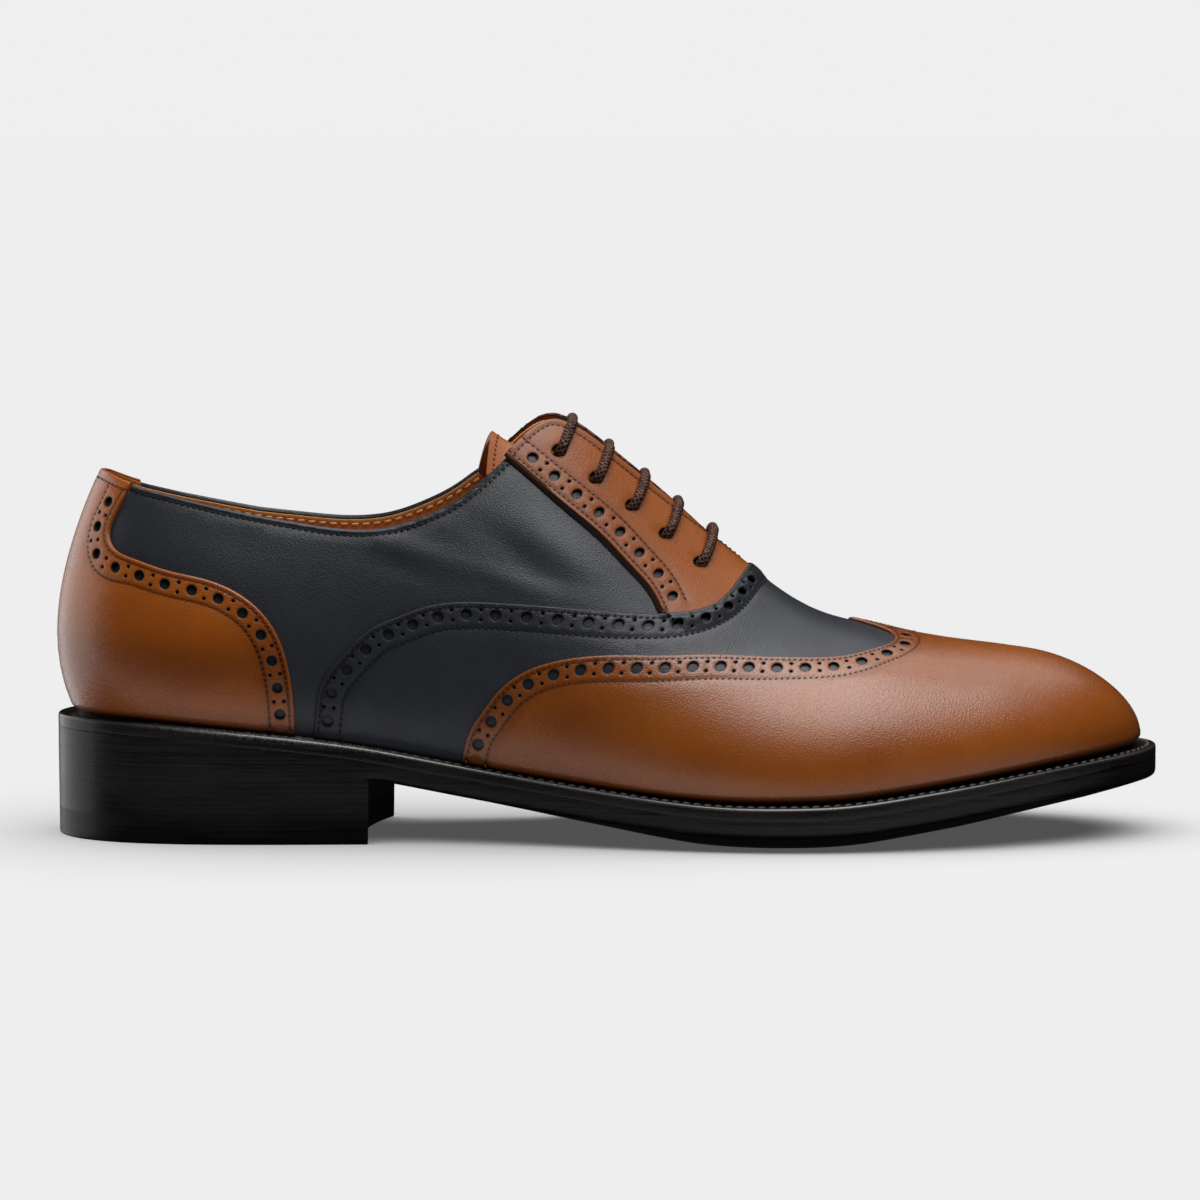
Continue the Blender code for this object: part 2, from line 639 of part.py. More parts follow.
def eyelet_cutter(pieces):
    """Punches the eyelets through the facings and the wall behind them."""
    shape = bmesh.new()
    for side in (LATERAL, MEDIAL):
        for along, up in EYELETS:
            centre = Vector(place(last_point(side, along, up)))
            axis = Vector(last_normal(side, np.array(along), np.array(up)))
            turn = axis.to_track_quat("Z", "Y").to_matrix().to_4x4()
            turn.translation = centre
            radius = EYELET_DIAMETER / 2 * MM
            bmesh.ops.create_cone(
                shape, cap_ends=True, segments=EYELET_SEGMENTS, radius1=radius, radius2=radius,
                depth=EYELET_DEPTH * MM, matrix=turn,
            )
    mesh = bpy.data.meshes.new("eyelet_cutter")
    shape.to_mesh(mesh)
    shape.free()
    cutter = bpy.data.objects.new("eyelet_cutter", mesh)
    bpy.context.scene.collection.objects.link(cutter)
    cutter.hide_render = True
    cutter.display_type = "WIRE"
    for piece in pieces:
        cut = piece.modifiers.new("eyelets", "BOOLEAN")
        cut.object = cutter
        cut.operation = "DIFFERENCE"
        cut.solver = "EXACT"


def lace_route():
    """Five straight bars joined under the facings, from the top eyelet down."""
    route = []
    side = MEDIAL
    for number, (along, up) in enumerate(EYELETS):
        shift = LACE_SHIFT
        most = float(girth(along + shift))
        half = [(side, along + s, up + way, h) for way, s, h in LACE_TURN]
        half.append((side, along + shift * 0.9, most - float(THROAT_GAP(along + shift)) - 1.0, LACE_OVER))
        other = [(-at[0], *at[1:]) for at in half[::-1]]
        bar = half + other
        if number:
            middle = (np.array(EYELETS[number - 1]) + (along, up)) / 2
            bar.insert(0, (side, along - LACE_DIP, up + LACE_TURN[0][0], LACE_UNDER))
            bar.insert(0, (side, middle[0], middle[1] + LACE_TURN[0][0], LACE_UNDER))
        if number < len(EYELETS) - 1:
            bar.append((-side, along + LACE_DIP, up + LACE_TURN[0][0], LACE_UNDER))
        route += bar
        side = -side
    points = [offset_point(side, *map(np.array, place_on)) for side, *place_on in route]
    return curve_points(points, LACE_PITCH)


def lace():
    line = bpy.data.curves.new("lace", "CURVE")
    line.dimensions = "3D"
    line.bevel_depth = LACE_DIAMETER / 2 * MM
    line.bevel_resolution = 2
    line.use_fill_caps = True
    points = place(lace_route())
    run = line.splines.new("POLY")
    run.points.add(len(points) - 1)
    for point, at in zip(run.points, points):
        point.co = (*at, 1.0)
    add_object("lace", line, "brown_cord")


def main():
    for old in list(bpy.data.objects):
        bpy.data.objects.remove(old)
    outsole()
    welt()
    heel()
    insole()
    shell = upper()
    tongue()
    eyelet_cutter([shell, *overlays()])
    lace()


if __name__ == "__main__":
    main()
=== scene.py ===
import json
import math

import bmesh
import bpy
import numpy as np
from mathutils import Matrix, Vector
from mathutils.geometry import delaunay_2d_cdt
from mathutils.kdtree import KDTree

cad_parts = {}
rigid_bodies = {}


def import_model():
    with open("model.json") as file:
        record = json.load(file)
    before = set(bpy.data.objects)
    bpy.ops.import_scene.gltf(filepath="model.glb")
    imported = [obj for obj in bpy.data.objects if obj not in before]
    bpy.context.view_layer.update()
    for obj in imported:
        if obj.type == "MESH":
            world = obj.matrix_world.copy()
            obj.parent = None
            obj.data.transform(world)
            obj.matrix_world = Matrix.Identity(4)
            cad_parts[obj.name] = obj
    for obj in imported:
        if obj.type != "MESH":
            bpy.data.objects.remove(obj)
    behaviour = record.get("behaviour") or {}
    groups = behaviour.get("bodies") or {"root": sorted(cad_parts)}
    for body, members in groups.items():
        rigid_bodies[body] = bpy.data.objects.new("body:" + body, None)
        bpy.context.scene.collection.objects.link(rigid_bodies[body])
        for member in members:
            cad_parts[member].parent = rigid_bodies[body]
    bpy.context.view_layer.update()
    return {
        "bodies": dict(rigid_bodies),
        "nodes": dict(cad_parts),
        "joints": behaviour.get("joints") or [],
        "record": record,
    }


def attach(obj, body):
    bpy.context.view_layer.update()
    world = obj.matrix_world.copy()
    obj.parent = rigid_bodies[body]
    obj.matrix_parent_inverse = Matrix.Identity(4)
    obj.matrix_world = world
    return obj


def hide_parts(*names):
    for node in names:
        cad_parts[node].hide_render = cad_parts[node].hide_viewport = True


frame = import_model()
print("frame loaded,", len(frame["nodes"]), "nodes")

mm = 0.001  # every length below is in millimetres, measured from the back of the sole
lateral, medial = -1, 1  # outer side towards the camera, inner side behind

# camera: straight at the outer side, a little above the floor
shot = {"target": (-0.0021, 0.0, 0.0635), "elevation": 5.0, "distance": 1.5, "lens": 163.9, "sensor": 36.0}


def setCamera():
    tilt = math.radians(shot["elevation"])
    back = Vector((0, -math.cos(tilt), math.sin(tilt)))
    data = bpy.data.cameras.new("camera")
    data.lens = shot["lens"]
    data.sensor_width = shot["sensor"]
    camera = bpy.data.objects.new("camera", data)
    camera.location = Vector(shot["target"]) + back * shot["distance"]
    camera.rotation_mode = "QUATERNION"
    camera.rotation_quaternion = (-back).to_track_quat("-Z", "Y")
    bpy.context.scene.collection.objects.link(camera)
    bpy.context.scene.camera = camera


setCamera()
print("camera set")

# the last: a body of ribs from the feather edge up to the ridge
last = {
    "length": 302.0, "back": 6.0, "tip": 295.4,
    "ribLevels": (0.0, 0.16, 0.42, 0.71),
    "heelFan": 20.0, "heelFanFrom": 60.0, "toeFan": 30.0, "toeFanFrom": 235.0,
    "stations": 241, "rungs": 61,
}
featherPlan = (  # x, lateral half-width, medial half-width, sole margin
    (6.0, 0.0, 0.0, 6.0), (9.0, 12.0, 12.0, 5.4), (20.0, 22.6, 22.6, 4.6), (40.0, 28.0, 28.4, 4.0),
    (65.0, 29.0, 28.4, 3.6), (90.0, 28.6, 26.0, 3.4), (115.0, 30.6, 25.0, 3.6), (140.0, 35.6, 28.0, 4.4),
    (165.0, 41.4, 34.6, 5.4), (190.0, 45.3, 41.6, 6.2), (210.0, 45.3, 45.2, 6.5), (230.0, 42.2, 44.8, 6.5),
    (250.0, 36.4, 40.0, 6.5), (270.0, 27.4, 32.0, 6.5), (285.0, 17.2, 23.0, 6.6), (291.0, 10.4, 17.0, 6.6),
    (295.4, -3.0, 3.0, 6.6),
)
featherHeight = (  # x, height
    (0.0, 33.4), (20.0, 33.0), (40.0, 31.6), (65.0, 29.2), (85.0, 26.6), (105.0, 23.0), (130.0, 18.8),
    (158.0, 14.9), (180.0, 12.8), (200.0, 12.6), (215.0, 13.2), (230.0, 15.0), (245.0, 17.1),
    (266.0, 20.2), (288.0, 23.0), (302.0, 24.4),
)
ridgeHeight = (  # x, height
    (6.0, 110.0), (40.0, 115.0), (70.0, 118.5), (100.0, 122.0), (120.0, 121.6), (136.0, 117.6),
    (146.0, 111.6), (157.0, 102.6), (168.0, 92.4), (179.0, 81.8), (190.0, 71.6), (200.0, 64.0),
    (210.0, 58.8), (220.0, 56.0), (232.0, 53.0), (245.0, 50.6), (256.0, 49.3), (270.0, 47.4),
)
ridgePlan = ((6.0, 0.0), (100.0, 0.0), (150.0, 0.0), (200.0, 3.0), (250.0, 4.0), (295.4, 3.0))  # x, y
ribShape = (  # x, low belly, wall belly, flank share, shoulder share, crown share
    (6.0, 6.2, 11.6, 0.30, 0.265, 0.95), (40.0, 6.0, 7.0, 0.10, 0.40, 0.90),
    (100.0, 6.0, 6.0, 0.20, 0.50, 0.95), (145.0, 5.5, 5.5, 0.34, 0.80, 0.98),
    (165.0, 4.8, 4.8, 0.38, 0.86, 0.965), (185.0, 3.7, 3.7, 0.34, 0.80, 0.985),
    (205.0, 2.8, 2.8, 0.24, 0.58, 1.00), (250.0, 2.0, 1.5, 0.16, 0.50, 1.00),
    (295.4, 1.0, 0.5, 0.27, 0.60, 1.00),
)


def spline(knots, values):  # natural cubic, for arrays
    knots, values = np.asarray(knots, float), np.asarray(values, float)
    count, step = len(knots), np.diff(knots)
    system, right = np.eye(count), np.zeros(count)
    for i in range(1, count - 1):
        system[i, i - 1 : i + 2] = step[i - 1], 2 * (step[i - 1] + step[i]), step[i]
        right[i] = 6 * ((values[i + 1] - values[i]) / step[i] - (values[i] - values[i - 1]) / step[i - 1])
    bend = np.linalg.solve(system, right)

    def at(where):
        where = np.asarray(where, float)
        i = np.clip(np.searchsorted(knots, where) - 1, 0, count - 2)
        a, b = (knots[i + 1] - where) / step[i], (where - knots[i]) / step[i]
        curl = (a**3 - a) * bend[i] + (b**3 - b) * bend[i + 1]
        return a * values[i] + b * values[i + 1] + curl * step[i] ** 2 / 6

    return at


def column(table, index):
    return [row[index] for row in table]


def tableLine(table, index=1):
    return spline(column(table, 0), column(table, index))


def turnOf(x):  # station angle, 0 at the heel's back and pi at the toe's tip
    share = (np.asarray(x, float) - last["back"]) / (last["tip"] - last["back"])
    return np.arccos(np.clip(1 - 2 * share, -1, 1))


def xOf(turn):
    return last["back"] + (last["tip"] - last["back"]) * (1 - np.cos(turn)) / 2


planTurns = turnOf(column(featherPlan, 0))
halfWidth = {side: spline(planTurns, column(featherPlan, k)) for side, k in ((lateral, 1), (medial, 2))}
soleMargin = spline(planTurns, column(featherPlan, 3))
featherZ = tableLine(featherHeight)
ridgeZ = tableLine(ridgeHeight)
ridgeY = tableLine(ridgePlan)
ribParts = [spline(turnOf(column(ribShape, 0)), column(ribShape, i)) for i in range(1, 6)]


def feather(side, turn):
    return xOf(turn), side * halfWidth[side](turn)


def ridgeX(x):
    heelShare = (last["heelFanFrom"] - x) / (last["heelFanFrom"] - last["back"])
    toeShare = (x - last["toeFanFrom"]) / (last["tip"] - last["toeFanFrom"])
    heel = last["heelFan"] * np.clip(heelShare, 0, 1) ** 2
    return x + heel - last["toeFan"] * np.clip(toeShare, 0, 1) ** 2


def rib(side, turn, t):  # t runs from the feather edge at 0 to the ridge at 1
    x, y = feather(side, turn)
    z = featherZ(x)
    topX = ridgeX(x)
    topY, topZ = ridgeY(topX), ridgeZ(topX)
    width = np.hypot(topX - x, topY - y)
    wayX, wayY = (topX - x) / width, (topY - y) / width
    low, wall, flank, shoulder, crown = (part(turn) for part in ribParts)
    rise = topZ - z
    slope = (ridgeZ(topX + 0.5) - ridgeZ(topX - 0.5)) * wayX
    crownZ = crown * rise - slope * width * (1 - shoulder)
    inset = (0 * width, -low, -wall, flank * width, shoulder * width, width)
    height = (*(level * rise for level in last["ribLevels"]), crownZ, rise)
    degree = len(inset) - 1
    weight = [math.comb(degree, k) * t**k * (1 - t) ** (degree - k) for k in range(degree + 1)]
    d = sum(w * value for w, value in zip(weight, inset))
    h = sum(w * value for w, value in zip(weight, height))
    return np.stack([x + wayX * d, y + wayY * d, z + h], -1)


# flattened last: along the feather edge from the heel's back, and up the girth above it
stationTurns = np.linspace(0, np.pi, last["stations"])


def flatten():
    t = np.linspace(0, 1, 4 * last["rungs"])
    edges = [np.stack(feather(side, stationTurns), -1) for side in (lateral, medial)]
    steps = sum(np.linalg.norm(np.diff(line, axis=0), axis=1) for line in edges) / 2
    along = np.concatenate([[0], np.cumsum(steps)])
    length, even = np.zeros(last["stations"]), np.zeros((last["stations"], last["rungs"]))
    for i, turn in enumerate(stationTurns):
        ribs = [rib(side, turn, t) for side in (lateral, medial)]
        steps = sum(np.linalg.norm(np.diff(line, axis=0), axis=1) for line in ribs) / 2
        up = np.concatenate([[0], np.cumsum(steps)])
        length[i] = up[-1]
        even[i] = np.interp(np.linspace(0, up[-1], last["rungs"]), up, t)
    return along, length, even


alongTable, girthTable, evenTable = flatten()
tipAlong = alongTable[-1]


def girth(along):
    return np.interp(along, alongTable, girthTable)


def lastPoint(side, along, up):
    along, up = np.broadcast_arrays(np.asarray(along, float), np.asarray(up, float))
    turn = np.interp(along, alongTable, stationTurns)
    row = np.clip(turn / np.pi * (last["stations"] - 1), 0, last["stations"] - 1.001)
    rung = np.clip(up / girth(along), 0, 1) * (last["rungs"] - 1.001)
    i, j = row.astype(int), rung.astype(int)
    a, b = row - i, rung - j
    low = evenTable[i, j] * (1 - b) + evenTable[i, j + 1] * b
    high = evenTable[i + 1, j] * (1 - b) + evenTable[i + 1, j + 1] * b
    return rib(side, turn, low * (1 - a) + high * a)


def lastSlopes(side, along, up):  # how a place moves per millimetre along and up
    h = 0.4
    along, up = np.asarray(along, float), np.asarray(up, float)
    most = girth(along)
    a0, a1 = np.clip(along - h, 0, tipAlong), np.clip(along + h, 0, tipAlong)
    share = np.clip(up / most, 0, 1)
    s0, s1 = np.clip(share - h / most, 0, 1), np.clip(share + h / most, 0, 1)
    dAlong = lastPoint(side, a1, share * girth(a1)) - lastPoint(side, a0, share * girth(a0))
    dUp = lastPoint(side, along, s1 * most) - lastPoint(side, along, s0 * most)
    return dAlong / (a1 - a0)[..., None], dUp / ((s1 - s0) * most)[..., None]


def unit(vectors):
    return vectors / np.linalg.norm(vectors, axis=-1, keepdims=True)


def lastNormal(side, along, up):
    dAlong, dUp = lastSlopes(side, along, up)
    return unit(np.cross(dAlong, dUp) * -side)


def offsetPoint(side, along, up, offset):
    if side == medial:
        up = raised(np.asarray(along, float), np.asarray(up, float))
    return lastPoint(side, along, up) + lastNormal(side, along, up) * np.asarray(offset, float)[..., None]


def place(points):  # millimetres from the heel's back to metres in the frame
    return (np.asarray(points, float) - (last["length"] / 2, 0, 0)) * mm


print("last drafted, tip at", round(float(tipAlong)), "mm along")

# pattern edges on the flattened last, from the hem up
topline = (
    (0.0, 68.8), (8.7, 68.7), (26.0, 66.1), (38.0, 64.3), (49.5, 62.5), (63.0, 60.6), (77.0, 59.3),
    (90.3, 59.1), (98.7, 60.7), (109.1, 65.5), (120.0, 73.2), (125.4, 78.7), (132.3, 87.0),
)
throat = (  # along, distance from the ridge
    (132.3, 23.2), (134.1, 20.7), (139.9, 13.0), (144.6, 8.4), (148.5, 6.9), (152.0, 6.4), (160.0, 6.2),
    (169.0, 5.4), (178.0, 4.2), (188.0, 2.4), (198.0, 0.0),
)
counterEdge = (
    (75.6, 0.0), (75.2, 11.3), (74.1, 18.8), (71.9, 26.0), (67.6, 32.7), (60.7, 37.9), (51.3, 41.0),
    (41.9, 42.3), (31.4, 44.9), (24.9, 47.5), (22.4, 51.1), (23.1, 57.0), (26.0, 66.1),
)
vampEdge = (
    (80.4, 0.0), (81.3, 8.6), (82.4, 15.0), (86.0, 21.2), (90.0, 26.2), (96.1, 32.6), (103.0, 36.9),
    (111.7, 41.6), (128.7, 45.6), (149.6, 47.7), (170.6, 49.9), (184.7, 53.7), (191.2, 58.5),
    (195.1, 65.1), (198.6, 74.3), (200.4, 80.7),
)
wingEdge = (
    (120.8, 0.0), (123.2, 10.2), (126.5, 15.8), (131.2, 22.5), (138.8, 29.0), (149.6, 33.7), (160.5, 36.3),
    (175.3, 38.4), (190.1, 40.8), (202.7, 41.7), (217.6, 42.6), (226.9, 43.7), (233.5, 46.3), (238.5, 49.9),
    (240.0, 53.8), (239.2, 59.4), (235.3, 65.0), (228.0, 70.5),
)
eyestayEdge = (
    (132.2, 87.9), (138.4, 83.6), (149.3, 76.2), (159.7, 69.3), (166.6, 63.2), (172.7, 57.2), (175.8, 51.3),
)
eyelets = ((146.7, 92.0), (156.8, 86.8), (166.8, 81.8), (176.2, 76.3), (185.9, 70.5))

toplineUp = tableLine(topline)
throatGap = tableLine(throat)
corner, throatEnd = throat[0][0], throat[-1][0]


def topEdge(along):  # collar, then facing, then the closed ridge
    along = np.asarray(along, float)
    facing = girth(along) - np.where(along < throatEnd, throatGap(np.minimum(along, throatEnd)), 0.0)
    return np.where(along < corner, toplineUp(np.minimum(along, corner)), facing)


innerRise = (  # along, how much higher the inner collar and facing stand
    (0.0, 0.0), (10.0, -0.4), (26.0, -1.3), (40.0, -1.8), (63.0, -1.55), (85.0, 0.0), (100.0, 1.2),
    (113.0, 2.3), (122.0, 3.1), (128.0, 2.6), (134.0, 1.8), (142.0, 1.4), (160.0, 0.9), (180.0, 0.3),
    (196.0, 0.0), (330.0, 0.0),
)
riseFrom = 0.55  # share of the height at which that rise starts


def looked(table, where):  # straight lines between a table's rows
    return np.interp(where, column(table, 0), column(table, 1))


def raised(along, up):
    rise = looked(innerRise, along) * smooth(up / topEdge(along), riseFrom, 1.0)
    return np.minimum(up + rise, girth(along))


def lineLength(line):
    return np.concatenate([[0], np.cumsum(np.linalg.norm(np.diff(line, axis=0), axis=1))])


def evenly(length, pitch):
    return np.linspace(0, length, max(2, int(round(length / pitch)) + 1))


def smoothLine(table, pitch):
    table = np.asarray(table, float)
    length = lineLength(table)
    return np.stack([spline(length, part)(evenly(length[-1], pitch)) for part in table.T], -1)


def sampled(line, where, length=None):  # places at given lengths of a line
    length = lineLength(line) if length is None else length
    return np.stack([np.interp(where, length, part) for part in line.T], -1)


def spaced(line, pitch):  # evenly spaced on the shoe, not on the flat pattern
    length = lineLength(lastPoint(lateral, *line.T))
    return sampled(line, evenly(length[-1], pitch), length)


def stretch(points):  # 2 x 2 matrix from flat steps to millimetres on the shoe
    dAlong, dUp = lastSlopes(lateral, points[..., 0], points[..., 1])
    size = np.linalg.norm(dAlong, axis=-1)
    first = dAlong / size[..., None]
    skew = (dUp * first).sum(-1)
    rise = np.linalg.norm(dUp - first * skew[..., None], axis=-1)
    matrix = np.zeros(points.shape[:-1] + (2, 2))
    matrix[..., 0, 0], matrix[..., 0, 1], matrix[..., 1, 1] = size, skew, rise
    return matrix


def beside(line, distance):  # the line moved to its left by true millimetres
    m = stretch(line)
    way = unit(np.einsum("nij,nj->ni", m, np.gradient(line, axis=0)))
    left = np.stack([-way[:, 1], way[:, 0]], -1)
    return line + np.linalg.solve(m, left[..., None])[..., 0] * np.reshape(distance, (-1, 1))


def holeFrames(holes):
    return stretch(np.array([centre for centre, *_ in holes], float)) if holes else []


def ringAt(centre, frame, radius, count):  # true circle on the shoe, drawn on the flat pattern
    turn = np.linspace(0, 2 * np.pi, count, endpoint=False)
    circle = np.stack([np.cos(turn), np.sin(turn)], -1) * radius
    return np.asarray(centre) + np.linalg.solve(frame, circle.T).T


def holeGap(points, holes, frames):  # true distance to the rim of the nearest hole
    near = np.full(len(points), 1e3)
    for (centre, radius, _), frame in zip(holes, frames):
        near = np.minimum(near, np.linalg.norm((points - centre) @ frame.T, axis=1) - radius)
    return near


rimPitch = 1.2


def heightLine(height, start, end, count):
    along = np.linspace(start, end, count)
    return np.stack([along, height(along)], -1)


def onEdge(height, start, end, pitch=rimPitch):  # points on a named height, ends left out
    return heightLine(height, start, end, max(2, int(abs(end - start) / pitch) + 1))[1:-1]


def straight(start, end, pitch=rimPitch):
    start, end = np.asarray(start, float), np.asarray(end, float)
    return np.linspace(start, end, max(2, int(np.linalg.norm(end - start) / pitch) + 1))[1:-1]


def hem(along):
    return 0 * np.asarray(along, float)


def inside(loop, points):
    hit = np.zeros(len(points), bool)
    for a, b in zip(loop, np.roll(loop, -1, 0)):
        if a[1] == b[1]:
            continue
        crosses = (a[1] > points[:, 1]) != (b[1] > points[:, 1])
        hit ^= crosses & (points[:, 0] < (b[0] - a[0]) * (points[:, 1] - a[1]) / (b[1] - a[1]) + a[0])
    return hit


def nearest(lines, points):  # flat distance to the nearest of several lines
    near = np.full(len(points), 1e3)
    for line in lines:
        for a, b in zip(line[:-1], line[1:]):
            run = b - a
            t = np.clip(((points - a) @ run) / max(run @ run, 1e-9), 0, 1)
            near = np.minimum(near, np.linalg.norm(points - a - t[:, None] * run, axis=1))
    return near


def smooth(value, low, high):
    t = np.clip((value - low) / (high - low), 0, 1)
    return t * t * (3 - 2 * t)


def bell(value, width):
    return np.exp(-((value / width) ** 2))


def always(value):  # the same height all over a piece
    return lambda points: np.full(len(points), float(value))


# shader maths: a socket that takes operators, and one method for any other node
class Wire:
    def __init__(self, tree, out=None):
        self.tree, self.out = tree, out

    def node(self, kind, settings=None, inputs=None, output=0):
        made = self.tree.nodes.new(kind)
        for key, value in (settings or {}).items():
            setattr(made, key, value)
        for key, value in (inputs or {}).items():
            if isinstance(value, Wire):
                self.tree.links.new(value.out, made.inputs[key])
            else:
                made.inputs[key].default_value = value
        return Wire(self.tree, made.outputs[output])

    def maths(self, operation, a, b=0.0):
        return self.node("ShaderNodeMath", {"operation": operation}, {0: a, 1: b})

    def __add__(self, other):
        return self.maths("ADD", self, other)

    __radd__ = __add__

    def __sub__(self, other):
        return self.maths("SUBTRACT", self, other)

    def __rsub__(self, other):
        return self.maths("SUBTRACT", other, self)

    def __mul__(self, other):
        return self.maths("MULTIPLY", self, other)

    __rmul__ = __mul__

    def clamped(self):
        return self.node("ShaderNodeClamp", {}, {0: self})

    def sine(self):
        return self.maths("SINE", self)

    def between(self, low, high):
        return self.node("ShaderNodeMapRange", {}, {"Value": self, "From Min": low, "From Max": high})

    def blend(self, a, b):
        first, second = (c if isinstance(c, Wire) else (*c, 1.0) for c in (a, b))
        return self.node("ShaderNodeMix", {"data_type": "RGBA"}, {"Factor": self, 6: first, 7: second}, 2)

    def objectCoords(self):
        return self.node("ShaderNodeTexCoord", {}, {}, 3)

    def uv(self):
        return self.node("ShaderNodeTexCoord", {}, {}, 2)

    def stretched(self, scale):
        return self.node("ShaderNodeMapping", {}, {"Vector": self, "Scale": scale})

    def noise(self, scale, detail=2.0, roughness=0.5):
        values = {"Vector": self, "Scale": scale, "Detail": detail, "Roughness": roughness}
        return self.node("ShaderNodeTexNoise", {}, values)

    def cells(self, scale):
        return self.node("ShaderNodeTexVoronoi", {}, {"Vector": self, "Scale": scale})

    def attribute(self, name):
        return self.node("ShaderNodeAttribute", {"attribute_name": name}, {}, 2)

    def facingUp(self):
        facing = self.node("ShaderNodeNewGeometry", {}, {}, 1)
        return self.node("ShaderNodeSeparateXYZ", {}, {"Vector": facing}, 2)

    def bump(self, height, distance, strength=1.0):
        return self.node("ShaderNodeBump", {}, {"Strength": strength, "Distance": distance, "Height": height})


materials, pieces = {}, []


def material(name, **constants):  # a new material: its wire to start from, and its shader
    made = bpy.data.materials.new(name)
    made.use_nodes = True
    shader = made.node_tree.nodes["Principled BSDF"]
    for key, value in constants.items():
        shader.inputs[key.replace("_", " ")].default_value = value
    materials[name] = made
    return Wire(made.node_tree), shader


def feed(shader, **links):
    for key, wire in links.items():
        wire.tree.links.new(wire.out, shader.inputs[key.replace("_", " ")])


tanLook = {
    "light": (0.345, 0.0930, 0.0110), "middle": (0.235, 0.0545, 0.0062), "dark": (0.036, 0.0085, 0.002),
    "edge": (0.014, 0.0045, 0.0018), "grain": 0.00013, "cells": 2300.0, "rough": 0.27, "coat": 0.25,
}
# the counter's tan, painted lighter than the same leather elsewhere, to stand in for more light on the
# counter
counterPaintedLighter = {"light": (0.530, 0.1400, 0.0145), "middle": (0.370, 0.0840, 0.0085)}
# the navy's middle colour, which the walls get, is lighter than its light colour: painted light on the walls
navyLook = {
    "light": (0.0210, 0.0236, 0.0302), "middle": (0.0340, 0.0379, 0.0480), "dark": (0.0040, 0.0043, 0.0052),
    "edge": (0.0035, 0.0035, 0.0042), "grain": 0.00012, "cells": 2400.0, "rough": 0.35, "coat": 0.05,
}
# the lining's tones are lightened past its own colour as painted light inside the shoe, and its edge colour
# is a painted highlight along its top rim
liningLook = {
    **tanLook, "light": (0.74, 0.350, 0.120), "middle": (0.64, 0.270, 0.080), "dark": (0.25, 0.085, 0.024),
    "edge": (0.80, 0.42, 0.17), "rough": 0.55, "coat": 0.0,
}


def leather(name, look, gloss):
    wire, shader = material(name, Coat_Roughness=0.24, Specular_IOR_Level=gloss)
    at = wire.objectCoords()
    cloud = at.noise(30.0, 3.0, 0.55)
    blotch = at.noise(140.0, 3.0, 0.6)
    pores = at.cells(look["cells"])
    fine = at.noise(3000.0, 2.0)
    burnishAndShade = wire.attribute("burnishAndShade")
    edge = wire.attribute("edge")
    lit = wire.facingUp()  # painted light: tops lighter than walls on tan and lining, walls lighter than tops on navy
    tone = 0.45 * cloud.between(0.36, 0.64) + 0.20 * blotch.between(0.36, 0.64)
    tone = tone + 0.35 * lit.between(-0.2, 0.7)
    colour = tone.clamped().blend(look["middle"], look["light"])
    # the burnish mark darkens the colour: burnish and stains, with painted shade at the hem and in the stitch
    # grooves
    colour = (burnishAndShade + 0.30 * (blotch - 0.5) + 0.20 * (fine - 0.5)).clamped().blend(colour, look["dark"])
    # cut edges take the edge colour: dark dye on tan and navy, a painted highlight on the lining
    colour = edge.blend(colour, look["edge"])
    rough = look["rough"] + 0.12 * (blotch - 0.5) + 0.10 * (fine - 0.5) + 0.55 * edge
    coat = (look["coat"] - look["coat"] * edge).clamped()
    grain = wire.bump(0.7 * pores + 0.5 * fine, look["grain"], 0.7)
    feed(shader, Base_Color=colour, Roughness=rough, Coat_Weight=coat, Normal=grain)


leather("tanLeather", tanLook, 0.48)
leather("counterLeather", {**tanLook, **counterPaintedLighter}, 0.44)
leather("eyestayLeather", {**tanLook, "rough": 0.38, "coat": 0.10}, 0.34)
leather("navyLeather", navyLook, 0.34)
leather("liningLeather", liningLook, 0.35)

# the sheen and rim colours are painted highlights on the welt's top and rim
soleLook = {
    "black": (0.0040, 0.0034, 0.0032), "worn": (0.019, 0.0165, 0.0155), "paintedSheen": (0.30, 0.29, 0.28),
    "rim": (0.17, 0.165, 0.16), "wax": 0.06, "relief": 0.00025,
}


def soleLeather(name, rough, brushed):
    wire, shader = material(name, Coat_Roughness=0.18, Specular_IOR_Level=0.2)
    at = wire.objectCoords()
    streaks = at.stretched((22.0, 22.0, 1300.0)).noise(1.0, 4.0, 0.65)
    patches = at.stretched((40.0, 40.0, 120.0)).noise(1.0, 3.0)
    specks = at.noise(900.0, 2.0)
    colour = (streaks * 0.6 + patches * 0.4).between(0.42, 0.70).blend(soleLook["black"], soleLook["worn"])
    hatch = at.stretched((1300.0, 1300.0, 3200.0)).noise(1.0, 3.0).between(0.40, 0.66)
    # painted highlight along the welt's top, broken up by a rough hatch
    colour = (hatch * wire.attribute("paintedSheen")).clamped().blend(colour, soleLook["paintedSheen"])
    # painted highlight: the welt's rim is coloured lighter grey where it takes wax
    colour = (0.6 * wire.attribute("waxAndSheen")).clamped().blend(colour, soleLook["rim"])
    relief = wire.bump(streaks * brushed + specks * 0.35, soleLook["relief"], 0.6)
    feed(
        shader, Base_Color=colour, Roughness=rough + 0.22 * (patches - 0.5) + 0.18 * (streaks - 0.5),
        Coat_Weight=soleLook["wax"] + wire.attribute("waxAndSheen"), Normal=relief,
    )


soleLeather("soleEdge", 0.34, 1.0)
soleLeather("weltLeather", 0.28, 0.3)
soleLeather("liftRubber", 0.48, 0.6)


def threadLook(name, colour, rough):
    wire, shader = material(name, Roughness=rough, Specular_IOR_Level=0.08)
    twist = wire.objectCoords().noise(2200.0, 2.0)
    dark, light = (tuple(c * share for c in colour) for share in (0.55, 1.5))
    feed(shader, Base_Color=twist.blend(dark, light), Normal=wire.bump(twist, 0.0001, 0.6))


